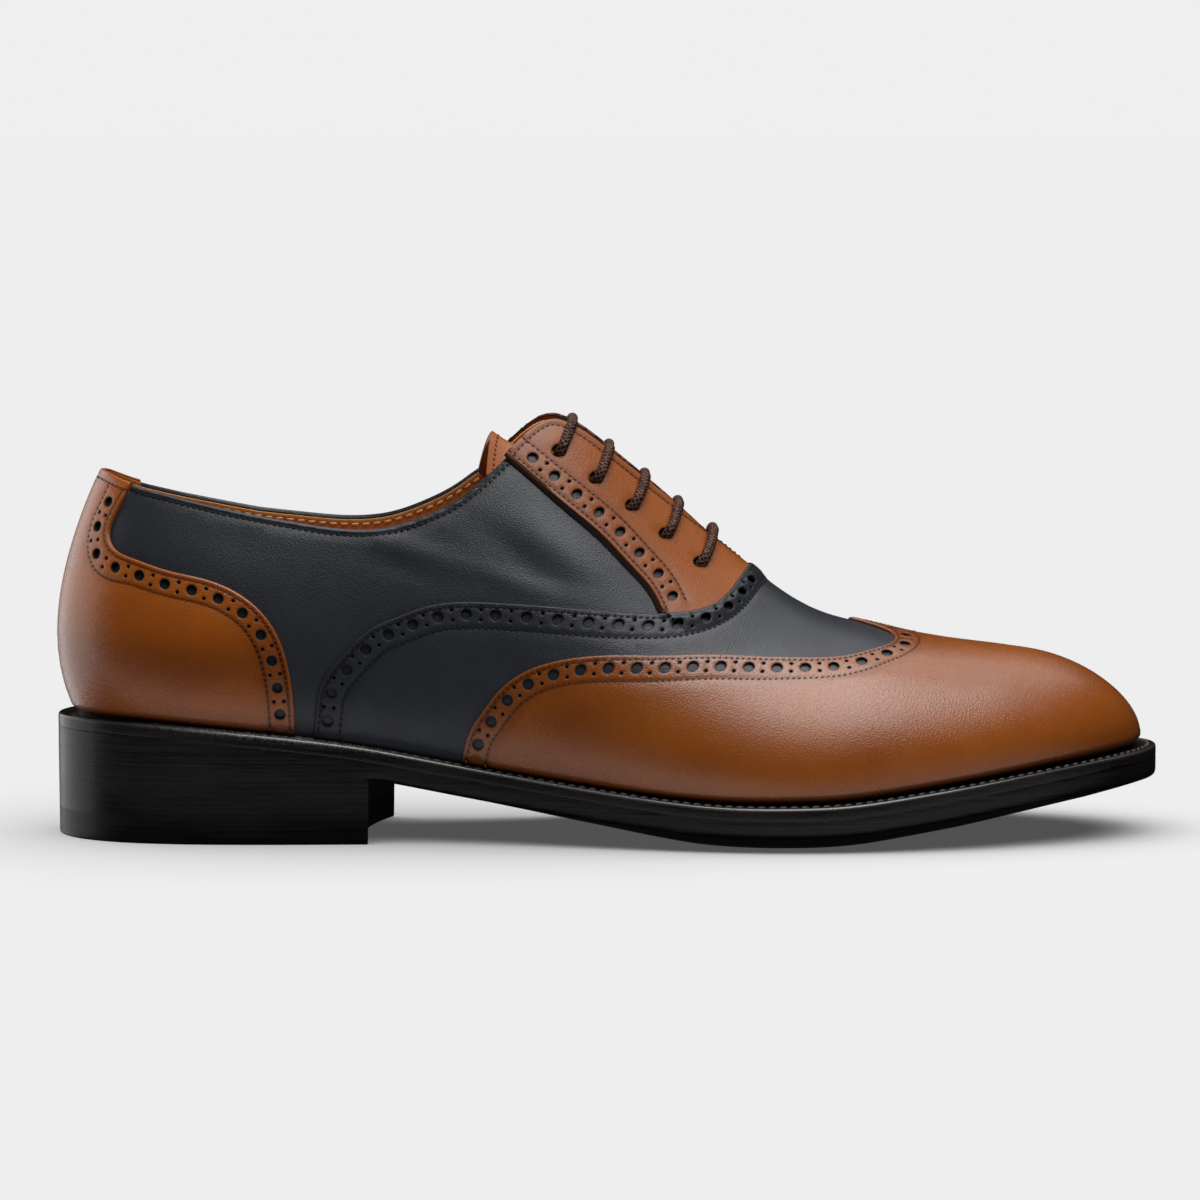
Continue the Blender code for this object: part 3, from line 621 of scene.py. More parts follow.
threadLook("tanThread", (0.170, 0.042, 0.008), 0.8)
threadLook("navyThread", (0.020, 0.021, 0.025), 0.38)
threadLook("paleThread", (0.62, 0.40, 0.20), 0.6)
threadLook("weltThread", (0.085, 0.078, 0.074), 0.6)

# dark cord and a light copper, the copper partly weave tone and partly painted glints
cordWeaveAndGlints = {"dark": (0.004, 0.0022, 0.0016), "light": (0.340, 0.125, 0.065)}
braid = {"turns": 8.4, "strands": 5, "depth": 0.00022}


def cordLook():
    wire, shader = material("waxedCord", Coat_Roughness=0.3, Specular_IOR_Level=0.22)
    split = wire.node("ShaderNodeSeparateXYZ", {}, {"Vector": wire.uv()})
    lengthwise, around = split, Wire(wire.tree, split.out.node.outputs[1])
    along, turned = lengthwise * braid["turns"], around * (2 * math.pi * braid["strands"])
    strands = along.maths("MAXIMUM", (along + turned).sine(), (along - turned).sine())
    fuzz = wire.objectCoords().noise(1300.0, 3.0)
    # sparse light specks where strands and noise peak: weave tone, and painted glints
    tone = (0.55 * strands + 2.0 * (fuzz - 0.56)).clamped()
    feed(
        shader, Base_Color=tone.blend(cordWeaveAndGlints["dark"], cordWeaveAndGlints["light"]), Roughness=0.60 - 0.2 * fuzz,
        Coat_Weight=0.15 * fuzz, Normal=wire.bump(strands + 0.5 * fuzz, braid["depth"], 0.8),
    )


cordLook()
print("materials made:", len(materials))


# pieces: a bmesh in metres becomes an object that rides on the shoe
sharpAngle = 42.0  # degrees, past which an edge isn't shaded smooth
weld = 0.004  # millimetres within which points are one


def addPiece(name, bm, looks, slot, replaced=()):
    mesh = bpy.data.meshes.new(name)
    bm.to_mesh(mesh)
    bm.free()
    mesh.shade_smooth()
    mesh.set_sharp_from_angle(angle=math.radians(sharpAngle))
    for look in looks:
        mesh.materials.append(materials[look])
    piece = bpy.data.objects.new(name, mesh)
    bpy.context.scene.collection.objects.link(piece)
    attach(piece, "root")
    if replaced:
        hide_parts(*replaced)
    pieces.append(piece)
    print("piece", name, len(mesh.polygons), "faces")


def gridMesh(points):  # rows and columns of points as one skin, closed where they meet
    rows, columns = points.shape[:2]
    bm = bmesh.new()
    bmesh.ops.create_grid(bm, x_segments=columns - 1, y_segments=rows - 1, size=1.0)
    for vert, at in zip(bm.verts, place(points).reshape(-1, 3)):
        vert.co = at
    bmesh.ops.remove_doubles(bm, verts=bm.verts, dist=weld * mm)
    bmesh.ops.dissolve_degenerate(bm, edges=bm.edges, dist=1e-7)
    bmesh.ops.recalc_face_normals(bm, faces=bm.faces)
    return bm


# leather cut flat: rim and punched holes are real edges, then it gets its thickness and goes on the last
cutting = {  # rings of points inside a rim and round a hole, steps beside a row, and the pitch elsewhere
    "rimRings": (0.22, 0.55), "holeRings": (0.22, 0.55), "rowSteps": (0.0, 0.55, -0.55), "fill": 2.6,
    "ringGap": 0.12, "rowGap": 0.3, "holeClear": 0.1,
}


def treeOf(points):
    tree = KDTree(len(points))
    for i, at in enumerate(points):
        tree.insert(at, i)
    tree.balance()
    return tree


def cutFlat(loop, holes, frames, guides, rimRings):
    rings = [ringAt(centre, frame, radius, count) for (centre, radius, count), frame in zip(holes, frames)]
    fixed = np.concatenate([loop, *rings])
    edges, start = [], 0
    for ring in [loop, *rings]:
        edges += [(start + i, start + (i + 1) % len(ring)) for i in range(len(ring))]
        start += len(ring)
    closed = np.concatenate([loop, loop[:1]])
    wanted = [(beside(closed, step)[:-1], cutting["ringGap"]) for step in rimRings]
    for (centre, radius, count), frame in zip(holes, frames):
        around = [ringAt(centre, frame, radius + step, count) for step in cutting["holeRings"]]
        wanted += [(ring, cutting["ringGap"]) for ring in around]
    for guide in guides:
        wanted += [(beside(guide, step), cutting["rowGap"]) for step in cutting["rowSteps"]]
    low, high = loop.min(0), loop.max(0)
    pitch = cutting["fill"]
    along, up = np.meshgrid(np.arange(low[0], high[0], pitch), np.arange(low[1], high[1], pitch * 0.866))
    along[1::2] += pitch / 2
    wanted.append((np.stack([along.ravel(), up.ravel()], -1), pitch * 0.5))
    kept = fixed
    for points, gap in wanted:
        points = points[inside(loop, points)]
        points = points[holeGap(points, holes, frames) > cutting["holeClear"]]
        if not len(points):
            continue
        tree = treeOf([(*at, 0.0) for at in kept])
        far = [tree.find((*at, 0.0))[2] > gap for at in points]
        kept = np.concatenate([kept, points[np.array(far, bool)]])
    verts, _, faces, *_ = delaunay_2d_cdt([Vector(p) for p in kept], edges, [], 1, 1e-6)
    flat = np.array([v[:] for v in verts])
    faces = np.array([f for f in faces if len(f) == 3])
    middle = flat[faces].mean(1)
    return flat, faces[inside(loop, middle) & (holeGap(middle, holes, frames) > -0.05)]


def thickSheet(flat, faces):  # flat solid with level 0 underneath and 1 on the grain side
    bm = bmesh.new()
    verts = [bm.verts.new((*p, 0.0)) for p in flat]
    for face in faces:
        bm.faces.new([verts[i] for i in face])
    bmesh.ops.delete(bm, geom=[v for v in bm.verts if not v.link_faces], context="VERTS")
    grain = bmesh.ops.extrude_face_region(bm, geom=bm.faces[:], use_keep_orig=True)["geom"]
    for item in grain:
        if isinstance(item, bmesh.types.BMVert):
            item.co.z = 1.0
    return bm


def lastOn(bm, sides, seam, heights, marks, zone):  # the flat solid goes on one or both sides of the last
    def onSeam(vert):
        return seam(vert.co.x, vert.co.y)

    walls = [f for f in bm.faces if all(map(onSeam, f.verts))]
    bmesh.ops.delete(bm, geom=walls, context="FACES")
    at = np.array([v.co[:] for v in bm.verts])
    if zone:
        for face in bm.faces:
            face.material_index = zone(*face.calc_center_median()[:2])
    joined = [i for i, (along, up, _) in enumerate(at) if len(sides) > 1 and seam(along, up)]
    low, high = heights(at[:, :2])
    offset = low + (high - low) * at[:, 2]
    layers = {name: bm.verts.layers.float.new(name) for name in marks}
    for name, values in marks.items():
        for vert, value in zip(bm.verts, values(at[:, :2], at[:, 2])):
            vert[layers[name]] = float(value)
    whole = bmesh.new()
    half = bpy.data.meshes.new("half")
    for side in sides:
        worked = bm.copy()
        for vert, point in zip(worked.verts, place(offsetPoint(side, at[:, 0], at[:, 1], offset))):
            vert.co = point
        worked.to_mesh(half)
        worked.free()
        whole.from_mesh(half)
    bpy.data.meshes.remove(half)
    bm.free()
    whole.verts.ensure_lookup_table()
    for i in joined:  # both sides meet halfway on the seam
        pair = whole.verts[i], whole.verts[i + len(at)]
        middle = (pair[0].co + pair[1].co) / 2
        for vert in pair:
            vert.co = middle
    bmesh.ops.remove_doubles(whole, verts=whole.verts, dist=weld * mm)
    bmesh.ops.recalc_face_normals(whole, faces=whole.faces)
    return whole


sheet = {  # the usual form of a piece, which a pattern may change
    "holes": [], "rows": [], "lines": [], "rings": cutting["rimRings"], "under": always(0.03), "base": 0.0,
    "rimRound": 0.55, "rimDrop": 0.42, "innerDrop": 0.0, "groove": 0.20, "cut": 1.0, "dark": always(0.0),
    "burnishAndShade": always(0.0), "seam": lambda along, up: False, "zone": None, "replaces": (),
}
sheetForm = {
    "holeRound": 0.55, "grooveWidth": 0.55, "punch": 0.16, "tuck": 3.0, "cutEdge": 0.3, "thinnest": 0.1,
    "pucker": 0.05, "puckerAt": 0.9, "puckerWidth": 0.3,
}
# darker near the rims (burnish), in the stitch grooves (painted shade) and round the holes: strength and
# reach in millimetres
darkenNear = {"rim": 0.12, "rimReach": 3.0, "row": 0.8, "rowReach": 0.45, "hole": 0.25, "holeReach": 0.5}


def leatherPiece(name, pattern):  # one pattern piece, from its flat cut to the shoe
    pattern = {**sheet, **pattern}
    loop, holes, rows, under = (pattern[key] for key in ("loop", "holes", "rows", "under"))
    frames = holeFrames(holes)
    flat, faces = cutFlat(loop, holes, frames, rows + pattern["lines"], pattern["rings"])
    over = pattern.get("over", lambda points: under(points) + pattern["thick"])
    known = {}

    def gaps(points):  # distances to the nearest rim, hole and stitch row
        key = len(points), float(points.sum())
        if key not in known:
            rim, hole = nearest(pattern["rims"], points), holeGap(points, holes, frames)
            known[key] = rim, hole, nearest(rows, points)
        return known[key]

    def heights(points):
        rim, hole, row = gaps(points)
        soft = np.clip(1 - rim / pattern["rimRound"], 0, 1) ** 2
        drop = pattern["rimDrop"] * soft
        drop = drop + sheetForm["punch"] * np.clip(1 - hole / sheetForm["holeRound"], 0, 1) ** 2
        drop = drop + pattern["groove"] * bell(row, sheetForm["grooveWidth"])
        drop = drop - sheetForm["pucker"] * bell(row - sheetForm["puckerAt"], sheetForm["puckerWidth"])
        tucked, base = smooth(points[:, 1], -0.5, sheetForm["tuck"]), pattern["base"]
        low = base + (under(points) + pattern["innerDrop"] * soft - base) * tucked
        return low, np.maximum(base + (over(points) - drop - base) * tucked, low + sheetForm["thinnest"])

    def edgeMark(points, level):
        rim, hole, _ = gaps(points)
        near = np.minimum(rim if pattern["cut"] else 1e3, hole)
        fading = np.clip(1 - near / sheetForm["cutEdge"], 0, 1)
        mark = np.where(level > 0.5, fading, (near < sheetForm["cutEdge"]) * 1.0)
        mark = mark * np.where(hole < 0.5, 1.0, pattern["cut"])
        return np.maximum(mark, pattern["dark"](points))

    def burnishAndShadeMark(points, level):
        rim, hole, row = gaps(points)
        # burnish at the rims, painted shade along the stitch grooves
        mark = darkenNear["rim"] * np.exp(-rim / darkenNear["rimReach"]) + darkenNear["row"] * bell(row, darkenNear["rowReach"])
        mark = mark + darkenNear["hole"] * np.exp(-np.maximum(hole, 0) / darkenNear["holeReach"])
        return mark + pattern["burnishAndShade"](points)

    marks = {"edge": edgeMark, "burnishAndShade": burnishAndShadeMark}
    bm = lastOn(thickSheet(flat, faces), pattern["sides"], pattern["seam"], heights, marks, pattern["zone"])
    addPiece(name, bm, pattern["looks"], pattern["slot"], pattern["replaces"])


# brogueing: rows of punched holes, pairs of pinholes between them and a stitch row on both sides
broguing = {"pin": 0.44, "pinSpread": 1.35, "holeSides": 18, "pinSides": 8, "places": 4, "pitch": 0.5}


def trimmed(line, start, end):
    most = lineLength(line)[-1]
    return sampled(line, np.linspace(start, min(end, most), int((end - start) / broguing["pitch"])))


def cornerStep(edge, start, band):  # the band is wider round a tight corner
    middle, width, extra = band.get("corner", (0.0, 1.0, 0.0))
    return extra * bell(lineLength(edge) + start - middle, width)


def brogueBand(edge, side, band):  # side -1 has the band on the right of the edge line
    step = broguing["places"]  # a hole at each such place, pinholes half way between
    row = beside(trimmed(edge, band["from"], band["to"]), side * band["holes"])
    places = np.arange(step * (band["count"] - 1) + 1)
    drift = looked(band.get("drift", ((0, 0), (1, 0))), places / step)
    row = sampled(row, np.linspace(0, lineLength(row)[-1], len(places)) + drift)
    row = beside(row, side * band.get("follow", 1.0) * cornerStep(row, band["from"], band))
    punched = [(centre, band["size"], broguing["holeSides"]) for centre in row[::step]]
    for offset in (-broguing["pinSpread"], broguing["pinSpread"]):
        pins = beside(row, offset)[step // 2 :: step]
        punched += [(centre, broguing["pin"], broguing["pinSides"]) for centre in pins]
    inner = band["inner"] + cornerStep(edge, 0.0, band)
    return punched, [beside(edge, side * distance) for distance in (band["outer"], inner)]


bands = {  # row distances from the edge, first and last hole along the edge, number of holes
    "counter": {
        "outer": 1.25, "holes": 3.8, "inner": 6.7, "from": 7.0, "to": 92.5, "count": 13, "size": 1.38,
        "corner": (80.0, 6.0, 1.4),
    },
    "vamp": {
        "outer": 1.25, "holes": 3.45, "inner": 7.0, "from": 6.0, "to": 152.0, "count": 19, "size": 1.46,
        "drift": (
            (0, 0), (4, -0.2), (6, -1.1), (8, -1.2), (10.6, 0), (14, 0.9), (16, 1.4), (17, 1.1), (18, 0.2),
        ),
    },
    "wing": {
        "outer": 1.2, "holes": 3.4, "inner": 6.6, "from": 8.0, "to": 159.0, "count": 21, "size": 1.48,
        "corner": (112.0, 40.0, 1.1), "follow": 0.5,
    },
    "eyestay": {
        "outer": 1.15, "holes": 4.0, "inner": 6.75, "from": 5.75, "to": 55.0, "count": 8, "size": 1.42,
    },
}
layers = {"overlay": 1.2, "wingOver": 0.95, "wall": 1.8, "lap": 11.0, "pad": 0.25, "padTo": (2.0, 3.6)}
stitchRows = []  # side list, flat line, height over the last, thread
freeRows = []  # line off the last, way out of the leather, thread


def padded(points, edge, step):  # the layer below is raised under a punched row, so its holes are shallow
    return layers["pad"] * (1 - smooth(nearest([beside(edge, step)], points), *layers["padTo"]))


def clipped(line, top, margin=0.4):  # keeps what lies between the hem and a top height
    return line[(line[:, 1] > margin) & (line[:, 1] < top(line[:, 0]) - margin)]


def dropIn(line, height):
    line = line.copy()
    line[-1, 1] = height(line[-1, 0])
    return line


counterLine = dropIn(smoothLine(counterEdge, 1.0), topEdge)
vampLine = dropIn(smoothLine(vampEdge, 1.0), girth)
wingLine = dropIn(smoothLine(wingEdge, 1.0), girth)
eyestayLine = smoothLine(eyestayEdge, 1.0)
both = (lateral, medial)
eyeletCut = {"radius": 1.95, "sides": 24}
eyeletHoles = [(centre, eyeletCut["radius"], eyeletCut["sides"]) for centre in eyelets]
collarLine = heightLine(topEdge, 0, corner, 140)
throatLine = heightLine(topEdge, corner, throatEnd, 90)
seamReach = 1e-3


def ridgeSeam(along, up):
    return up > girth(along) - seamReach


def toeSeam(along, up):
    return ridgeSeam(along, up) or along > tipAlong - seamReach


def backSeam(along, up):
    return along < seamReach


def quarterSeam(along, up):
    return backSeam(along, up) or (ridgeSeam(along, up) and along > throatEnd - 0.1)


def liningSeam(along, up):
    return backSeam(along, up) or (toeSeam(along, up) and along > throatEnd - 0.1)


# darker patches of the hand-stained leather: along, up, half length, half height, strength
counterStains = (
    (50.0, 17.0, 24.0, 7.0, 0.30), (66.0, 26.0, 9.0, 8.0, 0.16), (28.0, 30.0, 12.0, 8.0, 0.10),
)
wingStains = (
    (150.0, 17.0, 18.0, 6.0, 0.20), (186.0, 10.0, 26.0, 5.0, 0.16), (262.0, 24.0, 20.0, 6.0, 0.10),
    (172.0, 27.0, 10.0, 4.0, 0.12),
)
hemRows = {"pitch": 1.1, "heights": (1.2, 3.1), "clear": 9.0, "end": 1.5}


def stained(points, stains):
    total = np.zeros(len(points))
    for along, up, length, height, strength in stains:
        total += strength * bell(points[:, 0] - along, length) * bell(points[:, 1] - up, height)
    return total


def hemGuides(start, end):  # rows of points beside the hem, so that its burnish, painted shade and tuck run evenly
    along = np.arange(start, end, hemRows["pitch"])
    return [np.stack([along, 0 * along + up], -1) for up in hemRows["heights"]]


def lapped(line):  # how far the layer below a piece goes on under it: the end, its foot and its head
    lap = clipped(beside(line, -layers["lap"]), girth, 0.6)
    return lap, (lap[0, 0], 0.0), (lap[-1, 0], float(girth(lap[-1, 0])))


counterCut = {"hem": (1.05, 3.0), "belt": (0.20, 18.0, 9.0), "topRow": 2.6, "topRowTo": 25.0, "rowsEnd": 2.2}


def makeCounter():
    top = float(topEdge(0.0))
    loop = np.concatenate([
        [(0.0, 0.0)], onEdge(hem, 0, counterLine[0, 0]), counterLine, onEdge(topEdge, counterLine[-1, 0], 0),
        [(0.0, top)], straight((0.0, top), (0.0, 0.0)),
    ])
    holes, rows = brogueBand(counterLine, 1, bands["counter"])
    rim = np.concatenate([counterLine, onEdge(topEdge, counterLine[-1, 0], 0), [(0.0, top)]])
    topRow = heightLine(lambda a: topEdge(a) - counterCut["topRow"], 0, counterCut["topRowTo"], 40)
    rows = [clipped(row, lambda a: topEdge(a) - counterCut["rowsEnd"], 0.3) for row in rows] + [topRow]

    def burnishAndShade(points):  # burnish and painted shade at the hem, and a soft darker belt above it
        up, (hemBurnishAndShade, hemReach) = points[:, 1], counterCut["hem"]
        dark, middle, reach = counterCut["belt"]
        return hemBurnishAndShade * bell(up, hemReach) + dark * bell(up - middle, reach) + stained(points, counterStains)

    stitchRows.extend((both, row, layers["overlay"], "tanThread") for row in rows)
    leatherPiece("heelCounter", {
        "loop": loop, "holes": holes, "rows": rows, "rims": [rim], "sides": both, "seam": backSeam,
        "lines": hemGuides(hemRows["end"], counterLine[0, 0] - hemRows["clear"]), "thick": layers["overlay"],
        "cut": 0.45, "burnishAndShade": burnishAndShade, "looks": ["counterLeather"], "slot": "tan_leather",
        "replaces": ["heel_counter"],
    })


wingCut = {"hem": (0.85, 2.6), "toe": (0.12, 285.0, 318.0)}


def makeWing():
    low, high = (tipAlong, 0.0), (tipAlong, float(girth(tipAlong)))
    loop = np.concatenate([
        wingLine[::-1], onEdge(hem, wingLine[0, 0], tipAlong), [low], straight(low, high), [high],
        onEdge(girth, tipAlong, wingLine[-1, 0]),
    ])
    holes, rows = brogueBand(wingLine, -1, bands["wing"])
    rows = [clipped(row, girth, 0.3) for row in rows]

    def burnishAndShade(points):  # burnish and painted shade at the hem, and burnish a little towards the toe
        (hemBurnishAndShade, hemReach), (toeDark, *toeFrom) = wingCut["hem"], wingCut["toe"]
        toe = toeDark * smooth(points[:, 0], *toeFrom)
        return hemBurnishAndShade * bell(points[:, 1], hemReach) + toe + stained(points, wingStains)

    stitchRows.extend((both, row, layers["wingOver"] + layers["overlay"], "tanThread") for row in rows)
    leatherPiece("wingCap", {
        "loop": loop, "holes": holes, "rows": rows, "rims": [wingLine], "sides": both, "seam": toeSeam,
        "lines": hemGuides(wingLine[0, 0] + hemRows["clear"], tipAlong - hemRows["end"]),
        "thick": layers["overlay"], "under": always(layers["wingOver"]), "cut": 0.45, "burnishAndShade": burnishAndShade,
        "looks": ["tanLeather"], "slot": "tan_leather", "replaces": ["wing_cap"],
    })


vampCut = {
    "thick": 1.05, "stitched": 1.1, "overStay": 1.0, "rest": 0.03, "stayRamp": (-3.0, 2.0),
    "edgeRamp": (1.6, 6.0),
}
# round the foot of the eyestays
eyestayGround = ((190.0, 40.0), (215.0, 60.0), (215.0, 100.0), (140.0, 120.0))


def makeVamp():
    lap, foot, head = lapped(wingLine)
    loop = np.concatenate([
        vampLine[::-1], onEdge(hem, vampLine[0, 0], foot[0]), [foot], lap, [head],
        onEdge(girth, head[0], vampLine[-1, 0]),
    ])
    holes, rows = brogueBand(vampLine, -1, bands["vamp"])
    rows = [clipped(row, girth, 0.3) for row in rows]
    stitchRows.extend((both, row, vampCut["stitched"], "navyThread") for row in rows)
    stay = np.concatenate([eyestayLine, eyestayGround])

    def overStay(points):  # the vamp laps over the foot of the eyestays
        near = nearest([eyestayLine], points)
        signed = np.where(inside(stay, points), near, -near)
        low, high = vampCut["edgeRamp"]
        lift = smooth(signed, *vampCut["stayRamp"]) * smooth(-nearest([vampLine], points), -high, -low)
        return vampCut["rest"] + vampCut["overStay"] * lift

    def over(points):
        return overStay(points) + vampCut["thick"] + padded(points, wingLine, -bands["wing"]["holes"])

    leatherPiece("vampLeather", {
        "loop": loop, "holes": holes, "rows": rows, "rims": [vampLine], "sides": both, "seam": ridgeSeam,
        "under": overStay, "over": over, "looks": ["navyLeather"], "slot": "navy_leather",
        "replaces": ["vamp"],
    })


eyestayCut = {
    "thick": 1.35, "piping": 1.05, "pipingThick": 0.75, "pipingRest": 0.1, "facing": 0.7, "row": 1.4,
    "foot": 1.4, "closing": (176.0, 190.0), "closed": 0.9, "border": 0.15,
    "footTop": 0.6, "footFrom": 3.0, "cordRamp": (-1.5, 3.0), "ends": 0.5,
    "pipingLines": (-0.13, 0.13, -0.45, -0.75, -0.95),
}


def makeEyestays():
    foot = clipped(beside(vampLine, -eyestayCut["foot"]), lambda a: topEdge(a) - eyestayCut["footTop"])
    foot = foot[foot[:, 0] > eyestayLine[-1, 0] + eyestayCut["footFrom"]]
    ease = smooth(throatLine[:, 0], *eyestayCut["closing"])  # the facings close towards the vamp
    facing = beside(throatLine, eyestayCut["facing"] * (1 - ease) - eyestayCut["closed"] * ease)
    first, end = eyestayLine[0, 0] - eyestayCut["ends"], foot[-1, 0] - eyestayCut["ends"]
    facing = facing[(facing[:, 0] < end) & (facing[:, 0] > first)][::-1]
    rear = np.concatenate([eyestayLine, straight(eyestayLine[-1], foot[0])])
    swelling = smooth(lineLength(eyestayLine), *eyestayCut["cordRamp"])
    cord = beside(eyestayLine, -eyestayCut["piping"] * swelling)
    outer = np.concatenate([cord, straight(cord[-1], foot[0])])
    loop = np.concatenate([outer, foot, facing])
    holes, rows = brogueBand(eyestayLine, 1, bands["eyestay"])
    rows = [row[inside(loop, row)] for row in (*rows, beside(throatLine, -eyestayCut["row"]))]
    lines = [beside(eyestayLine, step)[3:-1] for step in eyestayCut["pipingLines"]]
    body = np.concatenate([rear, foot, facing])

    def beyond(points):  # millimetres past the facing's rear edge, on the dark piping
        near = nearest([rear], points)
        return np.where(inside(body, points), -near, near)

    def piped(points):
        return smooth(beyond(points), -eyestayCut["border"], eyestayCut["border"])

    def over(points):
        t = np.clip(beyond(points) / eyestayCut["piping"], 0, 1)
        piping = eyestayCut["pipingRest"] + eyestayCut["pipingThick"] * np.sqrt(1 - t * t)
        return eyestayCut["thick"] + (piping - eyestayCut["thick"]) * piped(points)

    places = ((lateral, "eyestayOuter", "eyestay_lateral"), (medial, "eyestayInner", "eyestay_medial"))
    for side, name, node in places:
        stitchRows.extend(((side,), row, eyestayCut["thick"], "tanThread") for row in rows)
        leatherPiece(name, {
            "loop": loop, "holes": holes + eyeletHoles, "rows": rows, "lines": lines, "sides": (side,),
            "rims": [np.concatenate([facing, outer])], "rimRound": 0.4, "rimDrop": 0.3,
            "dark": piped, "over": over, "looks": ["eyestayLeather"], "slot": "tan_leather",
            "replaces": [node],
        })


# troughs, and ridges where the depth is below zero
# along, up, half length, half width, slant in degrees, depth
creases = (
    (138.0, 58.5, 14.0, 3.8, -27.0, 0.50), (150.0, 64.0, 15.0, 4.6, -33.0, -0.40),
    (130.0, 53.2, 9.0, 1.8, -11.0, -0.25), (147.0, 51.6, 12.0, 1.8, -2.0, -0.22),
    (108.0, 56.0, 13.0, 2.6, -7.0, -0.30), (104.0, 50.5, 12.0, 2.6, -8.0, 0.25),
    (60.0, 52.0, 14.0, 4.0, -10.0, 0.15),
)


def creased(points):
    total = np.zeros(len(points))
    for along, up, length, width, slant, depth in creases:
        turn = math.radians(slant)
        d = points - (along, up)
        run = d[:, 0] * math.cos(turn) + d[:, 1] * math.sin(turn)
        across = d[:, 1] * math.cos(turn) - d[:, 0] * math.sin(turn)
        trough = bell(across, width) - 0.5 * bell(across - 2 * width, width)  # with a soft swell above it
        total -= depth * trough * bell(run, length)
    return total


collar = {
    "roll": 1.20, "rolled": 0.8, "row": 1.95, "rowFrom": 27.0, "lining": 1.00, "liningRow": 1.35,
    "tanDepth": 3.2, "throat": 0.2, "throatFades": (172.0, 190.0), "inside": -1.0,
    "rings": (0.2, 0.5, 0.9, 1.3), "tuck": (0.2, 1.4), "tuckRamp": (1.0, 8.0),
}


def makeQuarters():
    lap, foot, head = lapped(vampLine)
    (least, more), (start, end) = collar["tuck"], collar["tuckRamp"]
    hidden = beside(throatLine, -least - more * smooth(throatLine[:, 0], corner + start, corner + end))
    hidden = hidden[(hidden[:, 0] > corner + 1.0) & (hidden[:, 0] < throatEnd - 1.0)]
    top = float(topEdge(0.0))
    loop = np.concatenate([
        [(0.0, 0.0)], onEdge(hem, 0, foot[0]), [foot], lap, [head], onEdge(girth, head[0], throatEnd),
        [(throatEnd, float(girth(throatEnd)))], hidden[::-1], onEdge(topEdge, corner, 0), [(0.0, top)],
        straight((0.0, top), (0.0, 0.0)),
    ])
    lip = np.concatenate([onEdge(topEdge, corner, 0), [(0.0, top)]])
    row = beside(collarLine, -collar["row"])
    stitchRows.append((both, row[row[:, 0] > collar["rowFrom"]], 0.0, "navyThread"))
    border = counterLine[-1, 0] - 0.4  # behind it the rolled lip is tan
    split = straight((border, toplineUp(border)), (border, toplineUp(border) - collar["tanDepth"]), 0.4)

    def under(points):  # the leather is rolled over the lip and down inside
        rolled = 1 - smooth(nearest([lip], points), collar["roll"] - 0.5, collar["roll"] + 0.1)
        return collar["inside"] - collar["rolled"] * rolled

    def over(points):
        return creased(points) + padded(points, eyestayLine, bands["eyestay"]["holes"])

    def zone(along, up):
        return int(along < border and up > toplineUp(along) - collar["tanDepth"])

    leatherPiece("quarters", {
        "loop": loop, "holes": eyeletHoles, "rows": [row], "rims": [np.concatenate([hidden[::-1], lip])],
        "lines": [split], "sides": both, "seam": quarterSeam, "under": under, "over": over, "base": -0.5,
        "groove": 0.30, "rings": collar["rings"], "rimRound": 0.95, "rimDrop": 0.8, "innerDrop": 0.7,
        "cut": 0.0, "zone": zone, "looks": ["navyLeather", "tanLeather"], "slot": "navy_leather",
        "replaces": ["upper"],
    })


def liningEdge(along):
    throatPart = smooth(along, corner - 6, corner + 1)
    rise = collar["throat"] * (1 - smooth(along, *collar["throatFades"])) * throatPart
    return topEdge(along) - collar["lining"] * (1 - throatPart) + rise


liningCut = {"pitch": 2.0, "base": -1.4, "low": -1.95, "high": -1.05, "stitched": -2.18, "rowEnd": 4.0}


def makeLining():
    pitch = liningCut["pitch"]
    back, low = (0.0, float(liningEdge(0.0))), (tipAlong, 0.0)
    high, throatFoot = (tipAlong, float(girth(tipAlong))), (throatEnd, float(girth(throatEnd)))
    edge = np.concatenate([onEdge(liningEdge, throatEnd, corner), onEdge(liningEdge, corner, 0)])
    loop = np.concatenate([
        [(0.0, 0.0)], onEdge(hem, 0, tipAlong, pitch), [low], straight(low, high, pitch), [high],
        onEdge(girth, tipAlong, throatEnd, pitch), [throatFoot], edge, [back],
        straight(back, (0.0, 0.0), pitch),
    ])
    row = beside(heightLine(liningEdge, 0, corner - liningCut["rowEnd"], 140), -collar["liningRow"])
    stitchRows.append((both, row, liningCut["stitched"], "paleThread"))
    leatherPiece("lining", {
        "loop": loop, "holes": eyeletHoles, "rows": [row], "rims": [np.concatenate([edge, [back]])],
        "sides": both, "seam": liningSeam, "base": liningCut["base"], "under": always(liningCut["low"]),
        "over": always(liningCut["high"]), "groove": 0.0, "looks": ["liningLeather"],
        "slot": "insole_leather",
    })


makeCounter()
makeWing()
makeVamp()
makeEyestays()
makeQuarters()
makeLining()
print("leather lasted")

